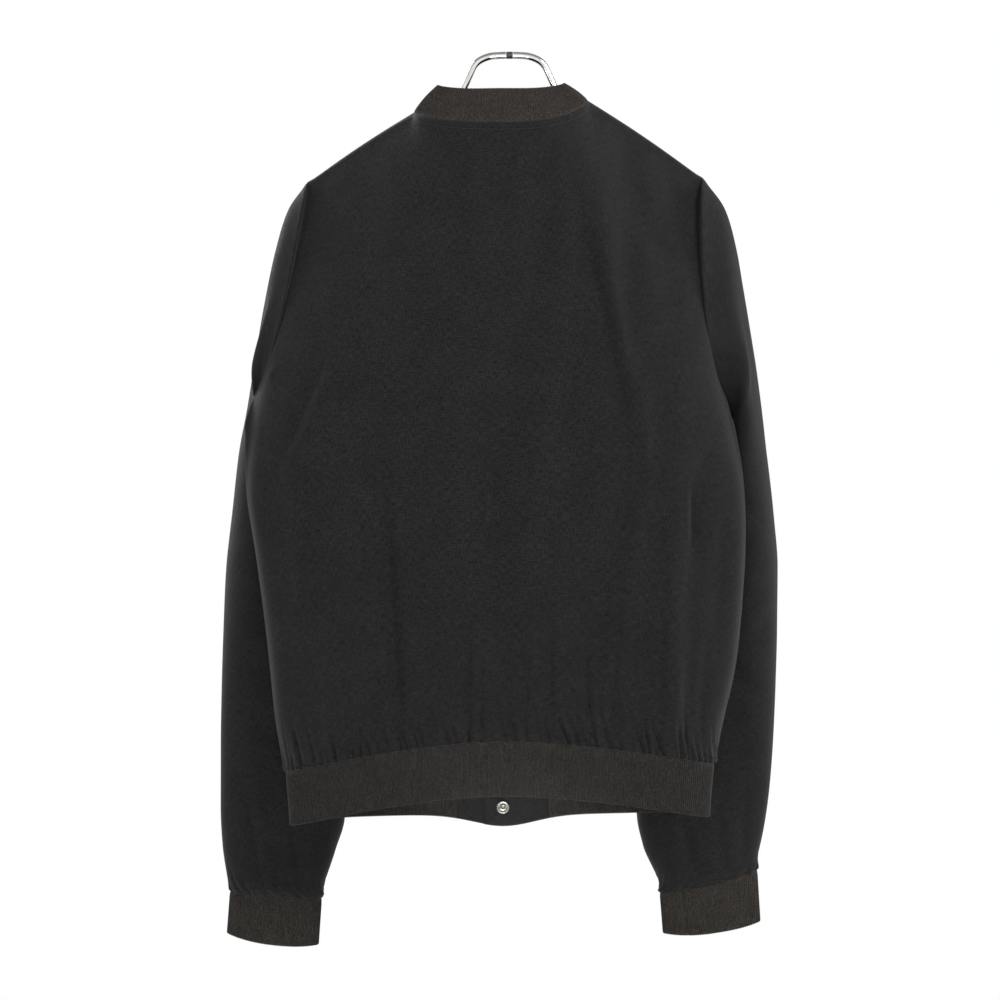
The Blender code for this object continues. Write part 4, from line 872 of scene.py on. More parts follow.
def cloth_piece(node_name, grid, outward, cut, ring=False):
    """A cloth shell with its real thickness, in place of its CAD node."""
    flat, area = CUT[cut]
    if area is None:
        area = LAP_FILLED * flat[0] * flat[1]
    made = grid_object(f"{node_name}_cloth", grid, outward, ring)
    made.data.materials.append(WOVEN)
    wall = made.modifiers.new("wall", "SOLIDIFY")
    wall.thickness, wall.offset = CLOTH * MM, -1
    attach(made, "root")
    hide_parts(node_name)


# ---------------------------------------------------------------- node trees


def node(tree, kind, inputs=(), **settings):
    """A node with its settings, and each input given a value or another node's output."""
    made = tree.nodes.new(kind)
    for name, value in settings.items():
        setattr(made, name, value)
    for name, value in dict(inputs).items():
        if isinstance(value, bpy.types.NodeSocket):
            tree.links.new(value, made.inputs[name])
        else:
            made.inputs[name].default_value = value
    return made


def number(tree, operation, first, second=0.0):
    return node(tree, "ShaderNodeMath", {0: first, 1: second}, operation=operation).outputs[0]


def scaled(tree, vector, scale):
    """A vector or a colour made longer or shorter, lighter or darker."""
    return node(tree, "ShaderNodeVectorMath", {0: vector, "Scale": scale}, operation="SCALE").outputs[0]


def shape_tree(name, sizes):
    """An empty geometry tree with named inputs: the tree, its geometry, and its sizes' sockets."""
    tree = bpy.data.node_groups.new(name, "GeometryNodeTree")
    tree.interface.new_socket("Geometry", in_out="INPUT", socket_type="NodeSocketGeometry")
    for size, kind in sizes.items():
        tree.interface.new_socket(size, in_out="INPUT", socket_type=f"NodeSocket{kind}")
    tree.interface.new_socket("Geometry", in_out="OUTPUT", socket_type="NodeSocketGeometry")
    entry = tree.nodes.new("NodeGroupInput")
    return tree, entry.outputs


def attribute(tree, name, kind="FLOAT"):
    """A value that each point of a mesh carries."""
    return node(tree, "GeometryNodeInputNamedAttribute", {"Name": name}, data_type=kind).outputs[0]


def end_tree(tree, geometry, look):
    """The tree's last nodes: instances made real, and the finish."""
    real = node(tree, "GeometryNodeRealizeInstances", {0: geometry}).outputs[0]
    painted = node(tree, "GeometryNodeSetMaterial", {"Geometry": real, "Material": look}).outputs[0]
    node(tree, "NodeGroupOutput", {0: painted})


def rib_tree():
    """Raises a band's surface into ribs, by its points' distance along the band."""
    tree, given = shape_tree("raised ribs", {"Pitch": "Float", "Depth": "Float", "Finish": "Material"})
    turn = number(tree, "DIVIDE", attribute(tree, "along"), given["Pitch"])
    turn = number(tree, "MULTIPLY", turn, 2 * math.pi)
    height = number(tree, "MULTIPLY", number(tree, "COSINE", turn), given["Depth"])
    height = number(tree, "MULTIPLY", height, attribute(tree, "ribbed"))
    out = scaled(tree, node(tree, "GeometryNodeInputNormal").outputs[0], height)
    raised = node(tree, "GeometryNodeSetPosition", {"Geometry": given["Geometry"], "Offset": out})
    end_tree(tree, raised.outputs[0], given["Finish"])
    return tree


def stitch_tree():
    """Lays a stitch at even steps along each line, turned along it and flat on the cloth."""
    sizes = {"Pitch": "Float", "Length": "Float", "Width": "Float", "Finish": "Material"}
    tree, given = shape_tree("stitches", sizes)
    line = node(tree, "GeometryNodeMeshToCurve", {0: given["Geometry"]}).outputs[0]
    steps = node(tree, "GeometryNodeResampleCurve", {"Curve": line, "Length": given["Pitch"]}, mode="LENGTH")
    turn = node(
        tree,
        "FunctionNodeAlignRotationToVector",
        {"Vector": node(tree, "GeometryNodeInputTangent").outputs[0]},
        axis="X",
    )
    turn = node(
        tree,
        "FunctionNodeAlignRotationToVector",
        {"Rotation": turn.outputs[0], "Vector": attribute(tree, "facing", "FLOAT_VECTOR")},
        axis="Z",
        pivot_axis="X",
    )
    ball = node(tree, "GeometryNodeMeshUVSphere", {"Segments": 8, "Rings": 4, "Radius": 0.5})
    size = node(tree, "ShaderNodeCombineXYZ", {0: given["Length"], 1: given["Width"], 2: given["Width"]})
    places = {"Points": steps, "Instance": ball, "Rotation": turn, "Scale": size}
    places = {name: made.outputs[0] for name, made in places.items()}
    laid = node(tree, "GeometryNodeInstanceOnPoints", places)
    end_tree(tree, laid.outputs[0], given["Finish"])
    return tree


def tube_tree():
    """A round rod along a line, with closed ends."""
    tree, given = shape_tree("rod", {"Radius": "Float", "Sides": "Int", "Finish": "Material"})
    line = node(tree, "GeometryNodeMeshToCurve", {0: given["Geometry"]}).outputs[0]
    sizes = {"Resolution": given["Sides"], "Radius": given["Radius"]}
    circle = node(tree, "GeometryNodeCurvePrimitiveCircle", sizes).outputs[0]
    tube = node(tree, "GeometryNodeCurveToMesh", {"Curve": line, "Profile Curve": circle, "Fill Caps": True})
    end_tree(tree, tube.outputs[0], given["Finish"])
    return tree


def shaped(piece, tree, sizes):
    """The piece with the tree's result as its plain mesh."""
    modifier = piece.modifiers.new(tree.name, "NODES")
    modifier.node_group = tree
    for item in tree.interface.items_tree:
        if item.in_out == "INPUT" and item.name in sizes:
            modifier[item.identifier] = sizes[item.name]
    graph = bpy.context.evaluated_depsgraph_get()
    mesh = bpy.data.meshes.new_from_object(piece.evaluated_get(graph))
    piece.modifiers.clear()
    piece.data = mesh
    return piece


def line_object(name, lines, facings=None):
    """Lines of points as the edges of one mesh, each point with the direction its cloth faces."""
    points, edges, start = [], [], 0
    for line in lines:
        points.extend((np.asarray(line) * MM).tolist())
        edges.extend((k, k + 1) for k in range(start, start + len(line) - 1))
        start += len(line)
    mesh = bpy.data.meshes.new(name)
    mesh.from_pydata(points, edges, [])
    if facings is not None:
        facing = mesh.attributes.new("facing", "FLOAT_VECTOR", "POINT")
        facing.data.foreach_set("vector", np.concatenate(facings).ravel())
    return linked(name, mesh)


# ---------------------------------------------------------------- finishes


def srgb(colour):
    """A screen colour as a linear one."""
    return tuple(c / 12.92 if c <= 0.04045 else ((c + 0.055) / 1.055) ** 2.4 for c in colour)


def finish(name, roughness, metallic=0.0, sheen=0.0, gloss=0.5):
    """A new Principled material: its tree and its shader."""
    made = bpy.data.materials.new(name)
    made.use_nodes = True
    shader = made.node_tree.nodes["Principled BSDF"]
    shader.inputs["Roughness"].default_value = roughness
    shader.inputs["Metallic"].default_value = metallic
    shader.inputs["Specular IOR Level"].default_value = gloss
    shader.inputs["Sheen Weight"].default_value = sheen
    shader.inputs["Sheen Roughness"].default_value = 0.45
    return made, made.node_tree, shader


def noise(tree, vector, scale, detail):
    """Soft noise of one scale."""
    sizes = {"Vector": vector, "Scale": scale, "Detail": detail}
    return node(tree, "ShaderNodeTexNoise", sizes).outputs["Fac"]


def places_of(tree):
    """Where a point lies on its piece's cut, and in the part."""
    place = node(tree, "ShaderNodeTexCoord")
    return place.outputs["UV"], place.outputs["Object"]


def toned(tree, colour, value, low, high, tones):
    """A colour made darker and lighter as a value goes from low to high."""
    ends = {"From Min": low, "From Max": high, "To Min": tones[0], "To Max": tones[1]}
    return scaled(tree, colour, node(tree, "ShaderNodeMapRange", {"Value": value, **ends}).outputs[0])


def bumped(tree, shader, height, strength, distance):
    """A fine relief."""
    sizes = {"Height": height, "Strength": strength, "Distance": distance}
    tree.links.new(node(tree, "ShaderNodeBump", sizes).outputs[0], shader.inputs["Normal"])


def mottled(tree, vector, scale, low, high, dark, light):
    """A colour that wanders between two tones."""
    wander = noise(tree, vector, scale, 4.0)
    share = node(tree, "ShaderNodeMapRange", {"Value": wander, "From Min": low, "From Max": high}).outputs[0]
    mix = node(tree, "ShaderNodeMix", data_type="RGBA")
    tree.links.new(share, mix.inputs["Factor"])
    mix.inputs["A"].default_value = (*srgb(dark), 1)
    mix.inputs["B"].default_value = (*srgb(light), 1)
    return mix.outputs["Result"]


def woven_finish():
    """Dark plain-woven cloth: fine threads both ways, uneven in tone, with a dry soft sheen."""
    made, tree, shader = finish("woven cloth", 0.85, sheen=0.05, gloss=0.1)
    cut, real = places_of(tree)
    broad = mottled(tree, real, 38.0, 0.3, 0.7, (0.066, 0.064, 0.067), (0.080, 0.077, 0.079))
    # Threads that run along the cloth and across it, each a little lighter or darker than the next.
    warp = node(tree, "ShaderNodeMapping", {"Vector": cut, "Scale": (950.0, 210.0, 1.0)}).outputs[0]
    weft = node(tree, "ShaderNodeMapping", {"Vector": cut, "Scale": (170.0, 950.0, 1.0)}).outputs[0]
    threads = [noise(tree, way, 1.0, 2.0) for way in (warp, weft)]
    both = number(tree, "MULTIPLY", number(tree, "ADD", *threads), 0.5)
    tree.links.new(toned(tree, broad, both, 0.35, 0.65, (0.3, 1.8)), shader.inputs["Base Color"])
    bands = [
        node(tree, "ShaderNodeTexWave", {"Vector": cut, "Scale": 420.0}, bands_direction=way).outputs["Fac"]
        for way in ("X", "Y")
    ]
    weave = number(tree, "ADD", number(tree, "MULTIPLY", number(tree, "ADD", *bands), 0.5), both)
    bumped(tree, shader, weave, 0.35, 0.0004)
    return made


def knitted_finish(name, dark, light):
    """Rib knit: small loops along each rib, with a short dull nap."""
    made, tree, shader = finish(name, 0.92, sheen=0.05, gloss=0.15)
    cut, real = places_of(tree)
    broad = mottled(tree, real, 90.0, 0.3, 0.7, dark, light)
    grain = noise(tree, real, 620.0, 2.0)
    tree.links.new(toned(tree, broad, grain, 0.3, 0.7, (0.35, 1.65)), shader.inputs["Base Color"])
    sizes = {"Vector": cut, "Scale": 260.0, "Distortion": 1.5}
    loops = node(tree, "ShaderNodeTexWave", sizes, bands_direction="Y").outputs["Fac"]
    height = number(tree, "ADD", number(tree, "MULTIPLY", loops, 0.6), noise(tree, real, 1400.0, 2.0))
    bumped(tree, shader, height, 0.4, 0.0005)
    return made


def metal_finish(name, dark, light, roughness, scratch):
    """Metal with faint wear: its gloss and tone wander."""
    made, tree, shader = finish(name, roughness, metallic=1.0)
    real = places_of(tree)[1]
    tree.links.new(mottled(tree, real, 120.0, 0.35, 0.65, dark, light), shader.inputs["Base Color"])
    bumped(tree, shader, noise(tree, real, 900.0, 3.0), scratch, 0.0001)
    return made


def plain_finish(name, colour, roughness):
    """One colour, a little uneven."""
    made, tree, shader = finish(name, roughness)
    real = places_of(tree)[1]
    paler = tuple(c * 1.12 for c in colour)
    tree.links.new(mottled(tree, real, 300.0, 0.3, 0.7, colour, paler), shader.inputs["Base Color"])
    return made


WOVEN = woven_finish()
HEM_KNIT = knitted_finish("hem knit", (0.096, 0.088, 0.081), (0.114, 0.105, 0.096))
CUFF_KNIT = knitted_finish("cuff knit", (0.116, 0.107, 0.099), (0.139, 0.128, 0.116))
COLLAR_KNIT = knitted_finish("collar knit", (0.126, 0.113, 0.101), (0.146, 0.131, 0.117))
THREAD = plain_finish("sewing thread", (0.1, 0.097, 0.099), 0.8)
SNAP_METAL = metal_finish("snap metal", (0.33, 0.34, 0.32), (0.46, 0.46, 0.43), 0.38, 0.25)
CHROME = metal_finish("chromed rod", (0.84, 0.83, 0.82), (0.93, 0.92, 0.91), 0.1, 0.03)
JOINER = plain_finish("joiner", (0.16, 0.15, 0.155), 0.42)
FLOOR = plain_finish("pale floor", (0.86, 0.86, 0.86), 0.8)


# ---------------------------------------------------------------- body


def body_grid(side, form, columns):
    """One side of the back or front as a grid: rows by BODY_LEVELS, columns by share."""
    return world(np.array([form(side, columns, level) for level in BODY_LEVELS]), side)


def even_columns(form, side, count, first, last):
    """Shares from first to last, evenly far apart on the cloth and closer beside the edge."""
    dense = first + (last - first) * (1 - np.cos(np.linspace(0, math.pi / 2, 900)))
    line = form(side, dense, MEASURED_LEVEL)
    lengths = np.concatenate([[0], np.cumsum(np.linalg.norm(np.diff(line, axis=0), axis=1))])
    steps = np.linspace(0, 1, count + 1)
    steps = (1 - EDGE_DENSER) * steps + EDGE_DENSER * steps**2
    return np.interp(steps * lengths[-1], lengths, dense)


def top_distance(grid):
    """How far below the top edge each point lies."""
    length = distance_along(grid, 0)
    return length[-1] - length


def dressed(grid, outward, look, fold_share, on=0):
    """A hung panel with its folds, creases, swells, gathers and rolled edges: its points and its normals."""
    normal = grid_normals(grid) * outward
    along, above, below = distance_along(grid, 1), distance_along(grid, 0), top_distance(grid)
    beside = np.minimum(along, along[:, -1:] - along)

    def grown(side, top, hem):
        return ease(beside / side) * ease(below / top) * ease(above / hem)

    if fold_share is None:
        fold_share = ease(beside / BACK_FOLD_SIDE)
    x, z = grid[..., 0], grid[..., 2]
    lift = fold_height(look["folds"], x, z) * fold_share * ease(below / FOLD_TOP) * ease(above / FOLD_HEM)
    lift += fold_height(look["creases"], x, z) * grown(look["crease_fade"], CREASE_TOP, CREASE_HEM)
    lift += ripple(x, z, look["ripple_seed"] + on) * grown(look["ripple_fade"], RIPPLE_TOP, RIPPLE_HEM)
    gathers = gather_height(along, above, look["gather_seed"] + on, **HEM_GATHERS)
    lift += gathers * ease(beside / look["gather_fade"])
    lift += np.maximum(roll(beside, look["side_roll"]), roll(below, look["top_roll"])) + roll(above, HEM_ROLL)
    return grid + normal * lift[..., None], normal


def make_back():
    """The back: one panel from armhole to armhole. Gives its points and normals, for what is sewn on it."""
    halves = []
    for side in (LEFT, RIGHT):
        columns = even_columns(back_form, side, BACK_COLUMNS, 1.0, 0.0)
        halves.append(body_grid(side, back_form, columns))
    grid = np.concatenate([halves[0], halves[1][:, ::-1][:, 1:]], axis=1)
    grid = settle(grid, BACK_SETTLE, BACK_SETTLE_LOW)
    outward = np.sign(grid_normals(grid)[:, :, 1].sum())
    grid, normal = dressed(grid, outward, PANEL["back"], None)
    cloth_piece("back", grid, normal, "back")
    return grid, normal


def make_front(side):
    """One front, from the side fold to the placket seam."""
    shares = np.linspace(0, 1, FRONT_COLUMNS + 1)
    rows = []
    for level in BODY_LEVELS:
        rows.append(front_form(side, shares * front_share_at(side, OVERLAP, level), level))
    grid = settle(world(np.array(rows), side), FRONT_SETTLE, FRONT_SETTLE_LOW)
    outward = -np.sign(grid_normals(grid)[:, -1, 1].sum())
    fold_share = ease((shares - FRONT_FOLD_SHARE) / FRONT_FOLD_SHARE)[None]
    x = grid[..., 0]
    grid, normal = dressed(grid, outward, PANEL["front"], fold_share, side)
    if side == LEFT:
        grid[..., 1] -= lap_ahead(x - CENTRE_X)
    cloth_piece(f"front_{NAMES[side]}", grid, normal, "front")


def lap_points(side, level, xs, drop=0.0):
    """A short row across the centre line on the fronts' form. The left one lies ahead."""
    xs = np.asarray(xs, float)
    points = np.empty((len(xs), 3))
    for on, here in ((LEFT, xs >= 0), (RIGHT, xs < 0)):
        if here.any():
            shares = front_share_at(on, np.abs(xs[here]), level)
            points[here] = world(front_form(on, shares, level), on)
    points[:, 2] -= drop
    if side == LEFT:
        points[:, 1] -= lap_ahead(xs)
    return points


def lap_piece(kind, side, grid):
    """A placket or a hem tab, with its long edges a little rolled."""
    normal = grid_normals(grid)
    normal *= -np.sign(normal[..., 1].sum())
    beside = distance_along(grid, 1)
    beside = np.minimum(beside, beside[:, -1:] - beside)
    cloth_piece(f"{kind}_{NAMES[side]}", grid + normal * roll(beside, LAP_ROLL)[..., None], normal, kind)


def make_placket(side):
    """The strip down one front that carries the snaps."""
    xs = np.linspace(OVERLAP, -OVERLAP, 19)
    grid = np.array([lap_points(side, level, xs) for level in BODY_LEVELS[::2]])
    lap_piece("placket", side, grid)


def make_hem_tab(side):
    """The cloth piece that ends the hem band in front."""
    outer = TAB_WIDTH + TAB_OVER
    xs = np.linspace(*((outer, -OVERLAP) if side == LEFT else (OVERLAP, -outer)), 31)
    grid = np.array([lap_points(side, 0.0, xs, RIB_HEIGHT * share) for share in np.linspace(1, 0, 21)])
    lap_piece("hem_tab", side, grid)


# ---------------------------------------------------------------- sleeves


def make_sleeve(side):
    """A one-piece sleeve from armhole to cuff."""
    places = np.arange(SLEEVE_COLUMNS) / SLEEVE_COLUMNS
    down = (1 - np.cos(places * 2 * math.pi)) / 2
    outers, inners = zip(*SLEEVE_TOP_RINGS, (6.0, 6.0), (LAST_RING, LAST_RING))
    rings = np.array([ring + (np.interp(ring, outers, inners) - ring) * down for ring in SLEEVE_RINGS])
    base = np.array([sleeve_form(side, places, ring) for ring in rings])
    creases = np.array([crease_height(side, places, row[:, 2]) for row in base])
    grid = world(base, side)
    normal = grid_normals(grid, ring=True)
    middle = grid.mean(axis=1, keepdims=True)
    normal *= np.sign(np.sum(normal * (grid - middle)))
    below, above = distance_along(grid, 0), top_distance(grid)
    along = distance_along(np.concatenate([grid, grid[:, :1]], axis=1), 1)[:, :-1]
    behind, ahead = np.clip(normal[..., 1], 0, 1), np.clip(-normal[..., 1], 0, 1)
    x, z = grid[..., 0], grid[..., 2]
    inside = ease(below / SLEEVE_CREASE_TOP)
    top_rings, hem_rings = SLEEVE_FOLD_RINGS
    lift = creases * ease(rings / top_rings) * ease((LAST_RING - rings) / hem_rings)
    fine = fold_height(SLEEVE_CREASES[side], x, z) * (behind + SLEEVE_FRONT_SHARE * ahead)
    lift += fine * inside * ease(above / SLEEVE_CREASE_HEM)
    swells = ripple(x, z, SLEEVE_RIPPLE_SEED + side) * (behind - ahead)
    lift += swells * inside * ease(above / RIPPLE_HEM)
    first_half = places < 0.5
    around = np.where(first_half, along, along[:, -1:] - along) * np.where(first_half, 1, CUFF_GATHER_BEHIND)
    lift += gather_height(around + CUFF_GATHER_START, above, CUFF_GATHER_SEED + side, **CUFF_GATHERS)
    lift += roll(below, SLEEVE_ROLL) + roll(above, HEM_ROLL)
    cloth_piece(f"sleeve_{NAMES[side]}", grid + normal * lift[..., None], normal, "sleeve", ring=True)


# ---------------------------------------------------------------- knitted bands


def band_piece(name, surface, along, node_name, height, look, ring=False):
    """A knitted band, folded at its free edge. surface(share) gives points and normals from seam to edge."""
    steps = np.linspace(0, 1 - KNIT / 2 / height, BAND_ROWS)
    outer = [surface(share) for share in steps]
    last, normal = outer[-1]
    down = surface(1.0)[0] - last
    down /= np.linalg.norm(down, axis=1)[:, None]
    half = KNIT / 2
    ribbed = [ease(share * height / RIB_START) for share in steps]
    ribbed += [FOLD_RIB_SHARE] * (FOLD_ROWS - 2) + ribbed[::-1]
    rows, facing = [points for points, _ in outer], [facing_out for _, facing_out in outer]
    for turn in np.linspace(0, math.pi, FOLD_ROWS)[1:-1]:
        round_out = normal * math.cos(turn) + down * math.sin(turn)
        rows.append(last - normal * half + round_out * half)
        facing.append(round_out)
    for points, facing_out in outer[::-1]:
        rows.append(points - facing_out * KNIT)
        facing.append(-facing_out)
    grid, facing = np.array(rows), np.array(facing)
    attributes = {
        "along": np.broadcast_to(along * MM, grid.shape[:2]),
        "ribbed": np.broadcast_to(np.array(ribbed)[:, None], grid.shape[:2]),
    }
    made = grid_object(name, grid, facing, ring, caps=not ring, across=attributes)
    pitch = float(along[1] - along[0]) * COLUMNS_PER_RIB * MM
    shaped(made, RIBS, {"Pitch": pitch, "Depth": RIB_DEPTH * MM, "Finish": look})
    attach(made, "root")
    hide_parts(node_name)


def ribbed_line(line, ring=False):
    """A line resampled so that each rib has the same few columns: points and how far along they lie."""
    length = np.linalg.norm(np.diff(line[:, :3], axis=0), axis=1).sum()
    count = round(length / RIB_PITCH) * COLUMNS_PER_RIB
    places = np.arange(count if ring else count + 1) / count
    return at_fraction(line, places), places * length


def sideways_normals(line, ring=False):
    """Level directions square to a line that runs round the body."""
    along = np.roll(line, -1, axis=0) - np.roll(line, 1, axis=0) if ring else np.gradient(line, axis=0)
    normal = np.stack([along[:, 1], -along[:, 0], 0 * along[:, 0]], axis=-1)
    normal /= np.linalg.norm(normal, axis=1)[:, None]
    outward = np.sum(normal * (line - line.mean(axis=0)), axis=1).sum()
    return normal * np.sign(outward)


def make_hem_rib():
    """The hem band, from one tab round the back to the other, drawn in a little at its lower edge."""
    pieces = []
    for side, back in ((LEFT, False), (LEFT, True), (RIGHT, True), (RIGHT, False)):
        if back:
            line = world(back_form(side, even_columns(back_form, side, 300, 1.0, 0.0), 0.0), side)
        else:
            shares = np.linspace(0, front_share_at(side, TAB_WIDTH, 0.0), 260)
            line = world(front_form(side, shares, 0.0), side)
            if side == LEFT:
                line[:, 1] -= lap_ahead(line[:, 0] - CENTRE_X)
        line = line[::-1] if (side == LEFT) != back else line
        pieces.append(line[1:] if pieces else line)
    seam, along = ribbed_line(np.concatenate(pieces))
    normal = sideways_normals(seam)
    x = seam[:, 0] - CENTRE_X
    draw_in = np.sign(x) * RIB_DRAW_IN * ease((np.abs(x) - TAB_WIDTH) / HEM_DRAW_WIDTH)
    swell = ripple(along, 0 * along, HEM_SWELL_SEED) * HEM_SWELL

    def surface(share):
        points = seam - share * np.stack([draw_in, 0 * x, 0 * x + RIB_HEIGHT], axis=-1)
        return points + normal * (swell * math.sin(math.pi * share))[:, None], normal

    band_piece("hem_knit", surface, along, "hem_rib", RIB_HEIGHT, HEM_KNIT)


def collar_path(count):
    """The neck seam from its right end under the lap, round the back, to its left end, and how far ahead."""

    def lap(side):
        return np.linspace(front_share_at(side, OVERLAP, 1.0), 1.0, 20)

    def front():
        return np.linspace(FRONT_NECK_SHARE, 1.0, count)

    def back(side):
        return neck_share(side) * np.sin(np.linspace(math.pi / 2, 0, count))

    pieces = [
        world(front_top(RIGHT, lap(RIGHT)), RIGHT),
        world(front_top(LEFT, front()[::-1]), LEFT)[1:],
        world(back_top(LEFT, back(LEFT)), LEFT)[1:],
        world(back_top(RIGHT, back(RIGHT)[::-1]), RIGHT)[1:],
        world(front_top(RIGHT, front()), RIGHT)[1:],
        world(front_top(LEFT, lap(LEFT)[::-1]), LEFT)[1:],
    ]
    ahead = [
        np.full(len(pieces[0]), LAP_OUT),
        lap_ahead(pieces[1][:, 0] - CENTRE_X),
        *(np.zeros(len(piece)) for piece in pieces[2:]),
    ]
    return np.concatenate(pieces), np.concatenate(ahead)


def make_collar():
    """The stand collar, from the neck seam up and in."""
    seam, ahead = collar_path(160)
    line, along = ribbed_line(np.concatenate([seam, ahead[:, None]], axis=1))
    seam, ahead = line[:, :3], line[:, 3]
    x, y = seam[:, 0] - CENTRE_X, seam[:, 1]
    wide, deep = COLLAR_ROUND
    angle = np.degrees(np.arctan2(y / deep, np.abs(x) / wide))
    outward = np.stack([x / wide**2, y / deep**2, 0 * x], axis=-1)
    outward /= np.linalg.norm(outward, axis=1)[:, None]
    lean = through(COLLAR_ANGLES, COLLAR_LEAN, angle)[:, None]
    rise = through(COLLAR_ANGLES, COLLAR_RISE, angle)[:, None]
    rise = rise - COLLAR_DIP * ((x < 0) * np.exp(-((angle / COLLAR_DIP_ANGLE) ** 2)))[:, None]
    up = np.array([0, 0, 1.0])
    normal = outward * rise + up * lean
    normal /= np.linalg.norm(normal, axis=1)[:, None]

    seam[:, 1] -= ahead
    top = softened(seam + up * rise - outward * lean, COLLAR_SOFT)
    normal = softened(normal, COLLAR_SOFT)
    normal /= np.linalg.norm(normal, axis=1)[:, None]

    def surface(share):
        points = seam + (top - seam) * share
        return points + normal * COLLAR_BOW * math.sin(math.pi * share), normal

    band_piece("collar_knit", surface, along, "collar", COLLAR_HEIGHT, COLLAR_KNIT)


def make_cuff(side):
    """A cuff, whose lower edge dips in its middle, with its seam behind."""
    cuff = CUFF[side]
    places = np.linspace(0, 1, 721)
    end = world(sleeve_form(side, places, LAST_RING), side)
    line, along = ribbed_line(np.concatenate([end, places[:, None]], axis=1), ring=True)
    top, angle = line[:, :3], line[:, 3] * 2 * math.pi
    normal = sideways_normals(top, ring=True)
    down = (1 - np.cos(angle)) / 2
    drop = cuff["outer_drop"] + (cuff["inner_drop"] - cuff["outer_drop"]) * down
    drop += CUFF_DIP * np.sin(angle) ** 2
    swell = ripple(along, 0 * along, CUFF_SWELL_SEED + side)
    swell *= ease(np.abs(np.sin(angle)) / CUFF_SWELL_START)
    seam_top, seam_bottom = CUFF_SEAM[side]

    def surface(share):
        points = top.copy()
        points[:, 0] += cuff["lean"] * share
        points[:, 2] -= drop * share
        beside = points[:, 0] - seam_top - (seam_bottom - seam_top) * share
        groove = np.exp(-((beside / CUFF_GROOVE_WIDTH) ** 2)) * (normal[:, 1] > 0)
        lift = swell * math.sin(math.pi * share)
        lift = lift - CUFF_GROOVE_DEPTH * groove * ease(share / CUFF_GROOVE_START)
        return points + normal * lift[:, None], normal

    name = f"cuff_{NAMES[side]}"
    band_piece(f"{name}_knit", surface, along, name, float(drop.mean()), CUFF_KNIT, ring=True)


# ---------------------------------------------------------------- snaps, sewing and hanger


def snap_frame(name):
    """Where a snap's CAD node sits and the way it faces, from the node's own points."""
    mesh = frame["nodes"][name].data
    points = np.array([vertex.co for vertex in mesh.vertices])
    low, high = points.min(axis=0), points.max(axis=0)
    centre = (low + high) / 2
    axis = np.linalg.svd(points - points.mean(axis=0))[2][2]
    facing = -1 if "cap" in name else 1
    return centre, axis * np.sign(axis[1]) * facing


def turned_mesh(work, profile, centre, axis, marks):
    """Adds a turned shape to the mesh under work, with so many pressed marks."""
    turn = Vector(axis).to_track_quat("Z", "Y").to_matrix().to_4x4()
    rings = []
    for radius, height in profile:
        ring = []
        for k in range(SNAP_SIDES if radius else 1):
            angle = 2 * math.pi * k / SNAP_SIDES
            notch = 0.0
            if marks and MARK_PLACES[0] < radius / SNAP_RING_RADIUS < MARK_PLACES[1]:
                notch = MARK_DEPTH * max(0.0, math.cos(angle * marks)) ** 6
            point = Vector((radius * math.cos(angle), radius * math.sin(angle), height - notch)) * MM
            ring.append(work.verts.new(turn @ point + Vector(centre)))
        rings.append(ring)
    for low, high in zip(rings, rings[1:]):
        for k in range(SNAP_SIDES):
            after = (k + 1) % SNAP_SIDES
            corners = [low[k % len(low)], low[after % len(low)], high[after % len(high)], high[k % len(high)]]
            work.faces.new(list(dict.fromkeys(corners)))


def make_snaps():
    """Finer snaps in place of the plain ones: caps outside the left front, rings inside the right one."""
    for kind, profile, marks in (("cap", CAP_PROFILE, 0), ("ring", RING_PROFILE, RING_MARKS)):
        names = [f"snap_{kind}_{k}" for k in range(1, 8)]
        work = bmesh.new()
        for name in names:
            centre, axis = snap_frame(name)
            turned_mesh(work, profile, centre, axis, marks)
        bmesh.ops.recalc_face_normals(work, faces=work.faces)
        mesh = bpy.data.meshes.new(f"snap_{kind}s")
        work.to_mesh(mesh)
        work.free()
        mesh.shade_smooth()
        mesh.set_sharp_from_angle(angle=SHARP)
        mesh.materials.append(SNAP_METAL)
        made = linked(mesh.name, mesh)
        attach(made, "root")
        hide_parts(*names)


def make_topstitching(grid, normal):
    """Rows of stitches below the collar seam on the back's cloth, and beside the edges of the plackets."""
    below, top_x = top_distance(grid), grid[-1, :, 0] - CENTRE_X
    right_end = NECK_STITCH_END - POINTS[RIGHT]["neck"][0]
    left_end = POINTS[LEFT]["neck"][0] - NECK_STITCH_END
    neck = np.flatnonzero((top_x > right_end) & (top_x < left_end))

    def at_stitch(values, k):
        return [np.interp(NECK_STITCH, below[::-1, k], values[::-1, k, axis]) for axis in range(3)]

    points, facing = (np.array([at_stitch(values, k) for k in neck]) for values in (grid, normal))
    lines, facings = [points + facing * NECK_STITCH_OUT], [facing]
    inner = OVERLAP - EDGE_STITCH
    for side, x in ((LEFT, inner), (LEFT, -inner), (RIGHT, inner)):
        edge = np.array([lap_points(side, level, [x])[0] for level in BODY_LEVELS[2:-3:3]])
        lines.append(edge - [0, EDGE_STITCH_OUT, 0])
        facings.append(np.tile([0, -1.0, 0], (len(edge), 1)))
    stitches = line_object("topstitching", lines, facings)
    sizes = {"Pitch": STITCH_PITCH, "Length": STITCH_LENGTH, "Width": STITCH_WIDTH}
    sizes = {name: size * MM for name, size in sizes.items()}
    shaped(stitches, STITCHES, {**sizes, "Finish": THREAD})
    stitches.data.shade_smooth()
    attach(stitches, "root")


